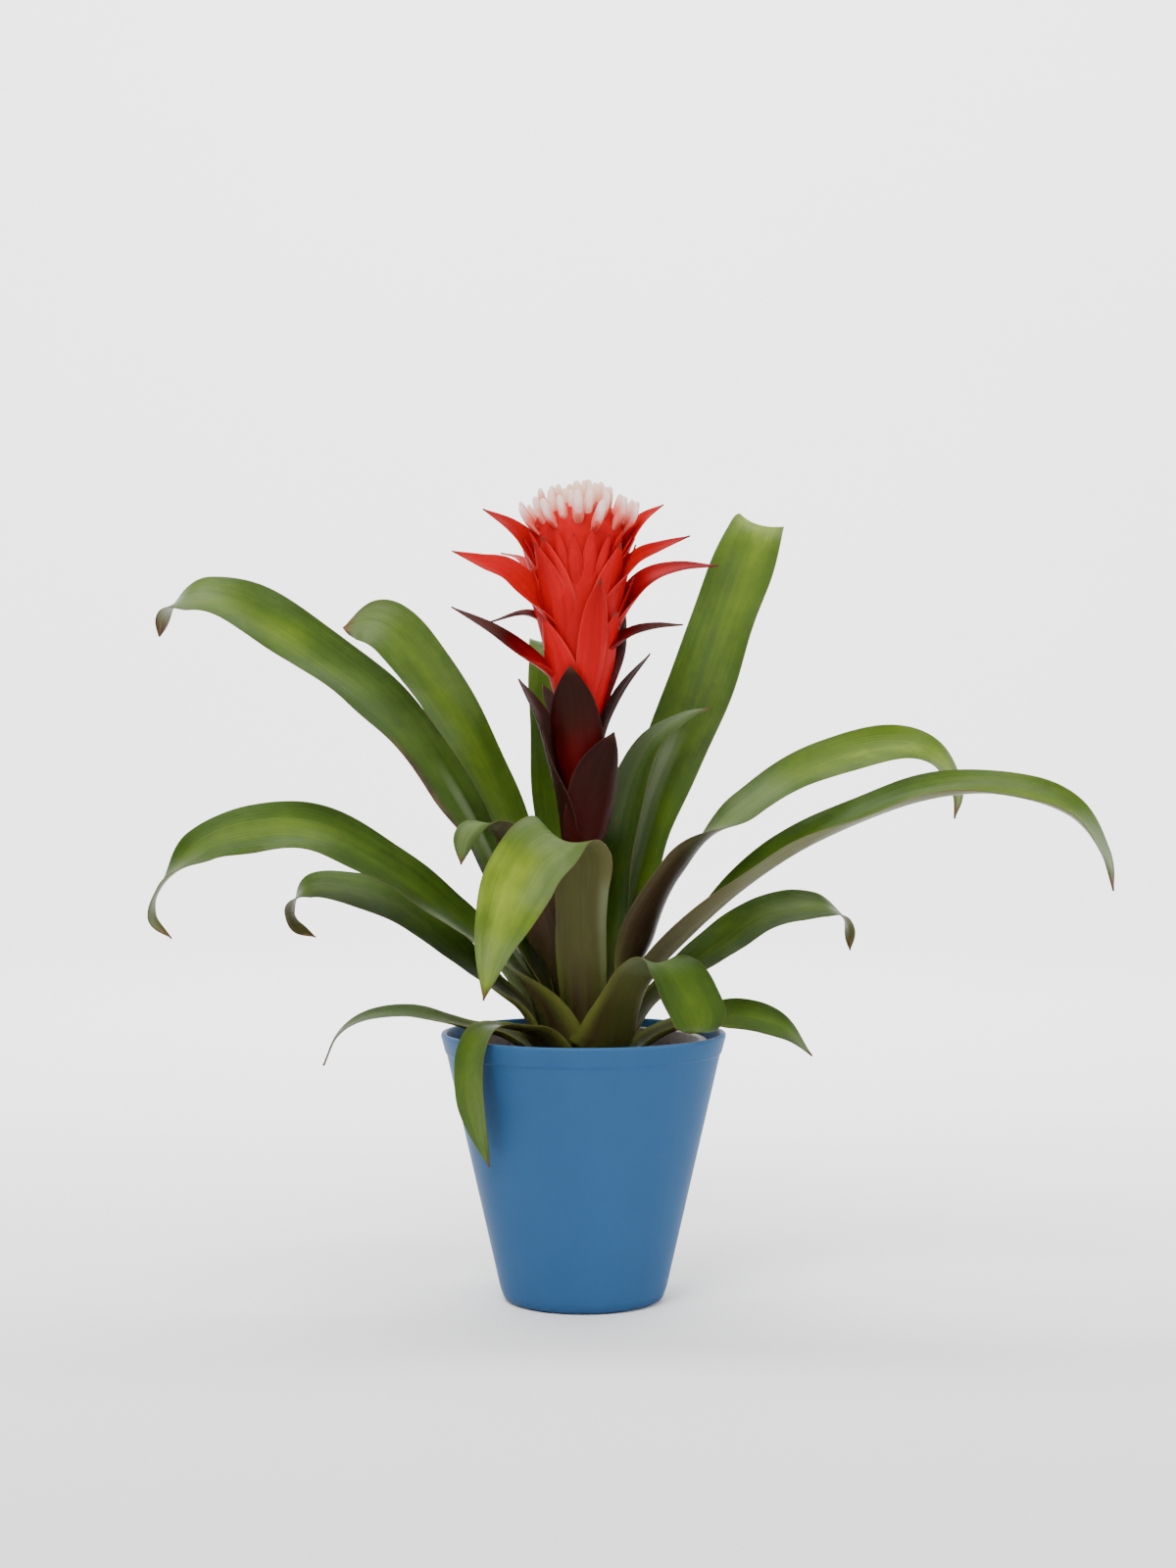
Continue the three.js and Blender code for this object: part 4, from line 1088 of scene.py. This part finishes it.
class GuzmaniaPlantSettings(bpy.types.PropertyGroup):
    """Sizes and colours of the plant and its soil"""

    leaf_thickness: bpy.props.FloatProperty(
        name="Leaf thickness", description="Thickness of a leaf along its midrib", default=0.001, unit="LENGTH"
    )
    leaf_green: bpy.props.FloatVectorProperty(
        name="Leaf green", description="Main green of the leaves", size=3, subtype="COLOR", default=LEAF_GREEN[:3]
    )
    tips: bpy.props.IntProperty(
        name="Pale tips", description="How many pale tips crown the flower head", default=48, min=10, max=200
    )
    tip_length: bpy.props.FloatProperty(
        name="Tip length", description="Length of one pale tip", default=0.024, unit="LENGTH"
    )
    tip_width: bpy.props.FloatProperty(
        name="Tip width", description="Width of one pale tip", default=0.0056, unit="LENGTH"
    )
    chips: bpy.props.IntProperty(
        name="Bark chips", description="Bark chips and crumbs on a square metre of soil", default=90000
    )


class GuzmaniaStageSettings(bpy.types.PropertyGroup):
    """Camera, lights and floor"""

    camera_distance: bpy.props.FloatProperty(
        name="Camera distance", description="From the pot's axis to the camera", default=1.2, unit="LENGTH"
    )
    lens: bpy.props.FloatProperty(
        name="Lens", description="Focal length on a 36 mm sensor", default=56.16, unit="CAMERA"
    )
    key_power: bpy.props.FloatProperty(name="Key light", description="Watts", default=62.0, subtype="POWER")
    fill_power: bpy.props.FloatProperty(name="Fill light", description="Watts", default=11.0, subtype="POWER")
    back_power: bpy.props.FloatProperty(name="Backdrop light", description="Watts", default=230.0, subtype="POWER")
    sky: bpy.props.FloatProperty(name="Sky", description="Brightness of the surroundings", default=0.36)


# ---------------------------------------------------------------------------------------------- operators


class GUZMANIA_OT_cover_pot(bpy.types.Operator):
    """Turns the tapered cover pot, with its rim band and rounded lip"""

    bl_idname = "guzmania.cover_pot"
    bl_label = "Cover Pot"

    def execute(self, context):
        pot = context.scene.guzmania_pot
        rim, foot, height, wall = (v / MM for v in (pot.rim_radius, pot.foot_radius, pot.height, pot.wall))

        def radius(level):
            return mix(foot, rim, level / height)

        band = height - POT_BAND
        drop = height - POT_LIP_DROP
        bevel_in, bevel_up = POT_FOOT_BEVEL
        corners = [(0, 0), (foot - POT_FOOT_INSET, 0), (foot - bevel_in, bevel_up)]
        corners += [(radius(POT_FOOT_RISE), POT_FOOT_RISE), (radius(band) - POT_BAND_STEP, band)]
        corners += [(radius(band + POT_BAND_STEP), band + POT_BAND_STEP), (rim, drop), (rim - POT_LIP_EASE, height)]
        corners += [(rim - wall + POT_LIP_EASE, height), (rim - wall, drop), (radius(wall) - wall, wall), (0, wall)]
        mesh = plain_mesh("cover_pot_glazed", *turned(spread(rounded(corners, POT_ROUNDING), 4.0), POT_SIDES))
        place(mesh, "cover_pot_glaze", "cover_pot", glaze_material(pot))
        return {"FINISHED"}


class GUZMANIA_OT_grower_pot(bpy.types.Operator):
    """Turns the thin grower's pot and cuts its drain holes"""

    bl_idname = "guzmania.grower_pot"
    bl_label = "Grower's Pot"

    def execute(self, context):
        foot = POT_FLOOR + SEAT_GAP
        floor = foot + GROWER_WALL
        lip = GROWER_TOP - GROWER_LIP_DEPTH
        corners = [(0, foot), (grower_radius(foot), foot), (grower_radius(lip), lip)]
        corners += [(grower_radius(lip) + GROWER_LIP_WIDTH, lip), (GROWER_RIM + GROWER_LIP_WIDTH, GROWER_TOP)]
        corners += [(GROWER_RIM - GROWER_WALL, GROWER_TOP), (grower_radius(floor) - GROWER_WALL, floor), (0, floor)]
        outline = spread(rounded(corners, 0.5, 3), 6.0)
        piece = loose_piece(plain_mesh("grower_pot_moulded", *turned(outline, GROWER_SIDES)))
        cutters = bmesh.new()
        radius = DRAIN_HOLE_RADIUS * MM
        depth = 3 * GROWER_WALL * MM
        for i in range(DRAIN_HOLES):
            around = 2 * math.pi * i / DRAIN_HOLES
            hole = bmesh.ops.create_cone(
                cutters, cap_ends=True, segments=24, radius1=radius, radius2=radius, depth=depth
            )
            ring = DRAIN_HOLE_RING * MM
            shift = (ring * math.cos(around), ring * math.sin(around), (foot + GROWER_WALL / 2) * MM)
            bmesh.ops.translate(cutters, vec=shift, verts=hole["verts"])
        holes = bpy.data.meshes.new("drain_holes")
        cutters.to_mesh(holes)
        cutters.free()
        cutter = loose_piece(holes)
        cut = piece.modifiers.new("drain holes", "BOOLEAN")
        cut.operation = "DIFFERENCE"
        cut.object = cutter
        cut.solver = "EXACT"
        finished = worked_out(piece, "grower_pot_cut")
        bpy.data.objects.remove(cutter)
        place(finished, "grower_pot_plastic", "grower_pot", plastic_material())
        return {"FINISHED"}


class GUZMANIA_OT_soil(bpy.types.Operator):
    """Fills the grower's pot with peat and scatters bark chips and crumbs over it"""

    bl_idname = "guzmania.soil"
    bl_label = "Soil"

    def execute(self, context):
        foot = POT_FLOOR + 2 * SEAT_GAP + GROWER_WALL

        def radius(level):
            return grower_radius(level) - GROWER_WALL - SEAT_GAP

        corners = [(0, foot), (radius(foot), foot), (radius(SOIL_EDGE), SOIL_EDGE)]
        corners += [(CROWN_RADIUS + 1.5, SOIL_TOP), (CROWN_RADIUS + SEAT_GAP, SOIL_EDGE)]
        corners += [(CROWN_FOOT_RADIUS + SEAT_GAP, CROWN_FOOT - SEAT_GAP), (0, CROWN_FOOT - SEAT_GAP)]
        outline = spread(corners[:3], 12.0) + spread(corners[2:4], 1.2)[1:] + spread(corners[3:], 12.0)[1:]
        points, faces = turned(outline, SOIL_SIDES)
        x, y, height = points.T
        reach = np.hypot(x, y)
        top = (height > SOIL_TOP - 1.5) & (reach > CROWN_RADIUS + 1) & (reach < radius(SOIL_TOP) - 0.8)
        lump = np.sin(x * 0.41 + 2) * np.cos(y * 0.37) + np.sin(x * 0.9 - y * 0.7)
        fine = np.sin(x * 2.3 + np.sin(y * 1.7)) * np.cos(y * 2.1 + 1) + 0.6 * np.sin(x * 4.1) * np.sin(y * 3.7)
        height += np.where(top, 0.9 * lump + 0.35 * fine, 0)
        piece = loose_piece(plain_mesh("soil_ground", points, faces))
        piece.data.materials.append(soil_material("Peat", PEAT_DARK, PEAT_LIGHT, 380.0))
        values = {
            "Density": float(context.scene.guzmania_plant.chips),
            "Level": (SOIL_TOP - 3) * MM,
            "Chip material": soil_material("Bark chips", BARK_DARK, BARK_LIGHT, 520.0),
        }
        scatter(piece, chip_tree(values), values)
        place(worked_out(piece, "soil_peat"), "soil", "soil")
        return {"FINISHED"}


class GUZMANIA_OT_stem(bpy.types.Operator):
    """Turns the short crown that the leaves stand on, and the flower stem above it"""

    bl_idname = "guzmania.stem"
    bl_label = "Stem"

    def execute(self, context):
        corners = [(0, CROWN_FOOT), (CROWN_FOOT_RADIUS, CROWN_FOOT), (CROWN_RADIUS, SOIL_TOP)]
        corners += [(SCAPE_RADIUS, CROWN_TOP), (SCAPE_RADIUS, DARK_FOOT - SEAT_GAP), (0, DARK_FOOT - SEAT_GAP)]
        points, faces = turned(spread(rounded(corners, 0.6, 3), 3.0), STEM_SIDES)
        swell = 1 + np.where(points[:, 2] > CROWN_TOP, 0.02 * np.sin(points[:, 2] * 0.9), 0)
        points[:, :2] *= swell[:, None]
        place(plain_mesh("stem_crown", leant(points), faces), "stem", "stem", stem_material())
        return {"FINISHED"}


class GUZMANIA_OT_leaves(bpy.types.Operator):
    """Sweeps each leaf along its own midrib, from the sheath in the rosette to its tip"""

    bl_idname = "guzmania.leaves"
    bl_label = "Leaves"

    def execute(self, context):
        plant = context.scene.guzmania_plant
        material = leaf_material(plant)
        for number, (name, leaf) in enumerate(LEAVES.items()):
            one = leaf_blade(leaf, plant.leaf_thickness / MM, number)
            place(blades_mesh(name + "_blade", [one], [leaf_looks(leaf, one)]), "leaf", name, material)
        return {"FINISHED"}


def place_bracts(name, slot, node, rows):
    """Puts bracts in the scene as one piece. Each row is a blade and its red at foot and tip."""
    blades, looks = [], []
    for one, (first, last) in rows:
        one["points"] = leant(one["points"])
        blades.append(one)
        t = one["share"]
        looks.append({"redness": mix(first, last, smooth((t - 0.3) / 0.6)), "dry": 0.8 * smooth((t - 0.93) / 0.06)})
    place(blades_mesh(name, blades, looks), slot, node, bract_material())


class GUZMANIA_OT_dark_bracts(bpy.types.Operator):
    """Wraps the dark bracts round the flower stem below the head"""

    bl_idname = "guzmania.dark_bracts"
    bl_label = "Dark Bracts"

    def execute(self, context):
        rows = [
            (bract_blade(azimuth, width, roll, midrib, DARK_SEED + i, 2.8), redness)
            for i, (azimuth, width, roll, midrib, redness) in enumerate(DARK_BRACTS)
        ]
        outline = [(SCAPE_RADIUS, DARK_FOOT), (SCAPE_RADIUS, RED_FOOT - SEAT_GAP)]
        rows.append((core_blade(outline, DARK_CORE_STREAKS), (0.1, 0.3)))
        place_bracts("dark_bracts_fine", "dark_bract", "dark_bracts", rows)
        return {"FINISHED"}


class GUZMANIA_OT_red_bracts(bpy.types.Operator):
    """Layers the red bracts, some closed round the head and some spread out from it"""

    bl_idname = "guzmania.red_bracts"
    bl_label = "Red Bracts"

    def execute(self, context):
        rows = []
        for i, (azimuth, width, roll, midrib, redness) in enumerate(RED_BRACTS):
            blunt = 2.6 if i == BLUNT_BRACT else 1.5
            rows.append((bract_blade(azimuth, width * BROADER_RED, roll, midrib, RED_SEED + i, blunt), redness))
        for i, (azimuth, foot) in enumerate(CLOSED_BRACTS):
            midrib = closed_midrib(foot, CLOSED_LENGTH, CLOSED_STAND)
            rows.append((bract_blade(azimuth, CLOSED_WIDTH, 0, midrib, CLOSED_SEED + i, 1.8), (0.86, 0.97)))
        for i in range(COLLAR_BRACTS):
            azimuth = 360.0 / COLLAR_BRACTS * i
            midrib = closed_midrib(COLLAR_START + COLLAR_STAGGER * (i % 2), COLLAR_LENGTH, COLLAR_STAND)
            rows.append((bract_blade(azimuth, COLLAR_WIDTH, 0, midrib, COLLAR_SEED + i), (0.9, 1.0)))
        outline = [(float(body_radius(h)), h) for h in np.linspace(RED_FOOT, RED_TOP, 30)]
        outline += [(RED_TOP_RADIUS * share, RED_TOP + up) for share, up in ((0.96, 3), (0.8, 8), (0.5, 11), (0.2, 12))]
        rows.append((core_blade(outline, RED_CORE_STREAKS), (0.8, 0.98)))
        place_bracts("red_bracts_fine", "red_bract", "red_bracts", rows)
        return {"FINISHED"}


class GUZMANIA_OT_pale_tips(bpy.types.Operator):
    """Crowns the flower head with pale tips, set out in a spiral over a low dome"""

    bl_idname = "guzmania.pale_tips"
    bl_label = "Pale Tips"

    def execute(self, context):
        plant = context.scene.guzmania_plant
        values = {
            "Count": plant.tips,
            "Dome radius": TIPS_RADIUS * MM,
            "Top": TIPS_TOP * MM,
            "Drop": TIPS_DROP * MM,
            "Lean": TIPS_LEAN,
            "Length": plant.tip_length,
            "Width": plant.tip_width,
            "Shift": STEM_LEAN * (TIPS_TOP - 10 - CROWN_TOP) * MM,
            "Seed": TIPS_SEED,
            "Tip material": tip_material(),
        }
        piece = loose_piece(bpy.data.meshes.new("tip_seat"))
        scatter(piece, tips_tree(values), values)
        place(worked_out(piece, "pale_tips_fine"), "pale_tip", "pale_tips")
        return {"FINISHED"}


class GUZMANIA_OT_stage(bpy.types.Operator):
    """Sets the pale floor that curves up all round, the soft lights and the camera"""

    bl_idname = "guzmania.stage"
    bl_label = "Stage"

    def execute(self, context):
        scene = context.scene
        stage = scene.guzmania_stage
        curve = [(0.0, 0.0), (1500.0, 0.0), (FLOOR_FLAT, 0.0)]
        for bend in (math.pi / 2 * k / 12 for k in range(1, 13)):
            curve.append((FLOOR_FLAT + FLOOR_BEND * math.sin(bend), FLOOR_BEND - FLOOR_BEND * math.cos(bend)))
        curve.append((FLOOR_FLAT + FLOOR_BEND, FLOOR_TOP))
        points, faces = turned(curve, FLOOR_SIDES)
        floor = loose_piece(plain_mesh("pale_floor", points, [face[::-1] for face in faces]))
        material, s = new_material("Pale floor", roughness=0.9)
        s.finish(s.mix(s.noise(s.object_place(), 1.5), *FLOOR_TONES))
        floor.data.materials.append(material)

        world = bpy.data.worlds.new("Soft studio")
        scene.world = world
        world.use_nodes = True
        sky = world.node_tree.nodes["Background"]
        sky.inputs["Color"].default_value = (1.0, 1.0, 1.0, 1.0)
        sky.inputs["Strength"].default_value = stage.sky
        for name, (position, target, size, power) in LIGHTS.items():
            soft_light(scene, name, position, target, size, getattr(stage, power))

        camera = bpy.data.cameras.new("front_camera")
        camera.lens = stage.lens
        camera.sensor_width = 36.0
        camera.clip_end = 50.0
        eye = bpy.data.objects.new("front_camera", camera)
        eye.location = (EYE_SIDE, -stage.camera_distance, EYE_HEIGHT)
        eye.rotation_euler = (math.radians(90 - EYE_DIP), 0, 0)
        scene.collection.objects.link(eye)
        scene.camera = eye
        return {"FINISHED"}


def soft_light(scene, name, position, target, size, power):
    """A large square light that faces a target."""
    light = bpy.data.lights.new(name, "AREA")
    light.shape = "SQUARE"
    light.size = size
    light.energy = power
    lamp = bpy.data.objects.new(name, light)
    lamp.location = position
    x, y, z = np.array(target) - np.array(position)
    lamp.rotation_euler = (math.atan2(math.hypot(x, y), -z), 0, math.atan2(y, x) - math.pi / 2)
    scene.collection.objects.link(lamp)


OPERATORS = (
    GUZMANIA_OT_cover_pot,
    GUZMANIA_OT_grower_pot,
    GUZMANIA_OT_soil,
    GUZMANIA_OT_stem,
    GUZMANIA_OT_leaves,
    GUZMANIA_OT_dark_bracts,
    GUZMANIA_OT_red_bracts,
    GUZMANIA_OT_pale_tips,
    GUZMANIA_OT_stage,
)
SETTINGS = {
    "guzmania_pot": GuzmaniaPotSettings,
    "guzmania_plant": GuzmaniaPlantSettings,
    "guzmania_stage": GuzmaniaStageSettings,
}


class GUZMANIA_PT_panel(bpy.types.Panel):
    """Lists the plant's settings and the pieces to build"""

    bl_idname = "GUZMANIA_PT_panel"
    bl_label = "Guzmania"
    bl_space_type = "VIEW_3D"
    bl_region_type = "UI"
    bl_category = "Guzmania"

    def draw(self, context):
        for name in SETTINGS:
            settings = getattr(context.scene, name)
            box = self.layout.box()
            for key in settings.__annotations__:
                box.prop(settings, key)
        for operator in OPERATORS:
            self.layout.operator(operator.bl_idname)


def register():
    for name, group in SETTINGS.items():
        bpy.utils.register_class(group)
        setattr(bpy.types.Scene, name, bpy.props.PointerProperty(type=group))
    for operator in OPERATORS:
        bpy.utils.register_class(operator)
    bpy.utils.register_class(GUZMANIA_PT_panel)


def unregister():
    bpy.utils.unregister_class(GUZMANIA_PT_panel)
    for operator in reversed(OPERATORS):
        bpy.utils.unregister_class(operator)
    for name, group in reversed(SETTINGS.items()):
        delattr(bpy.types.Scene, name)
        bpy.utils.unregister_class(group)


def main():
    register()
    bpy.ops.guzmania.cover_pot()
    bpy.ops.guzmania.grower_pot()
    bpy.ops.guzmania.soil()
    bpy.ops.guzmania.stem()
    bpy.ops.guzmania.leaves()
    bpy.ops.guzmania.dark_bracts()
    bpy.ops.guzmania.red_bracts()
    bpy.ops.guzmania.pale_tips()
    bpy.ops.guzmania.stage()


if __name__ == "__main__":
    main()
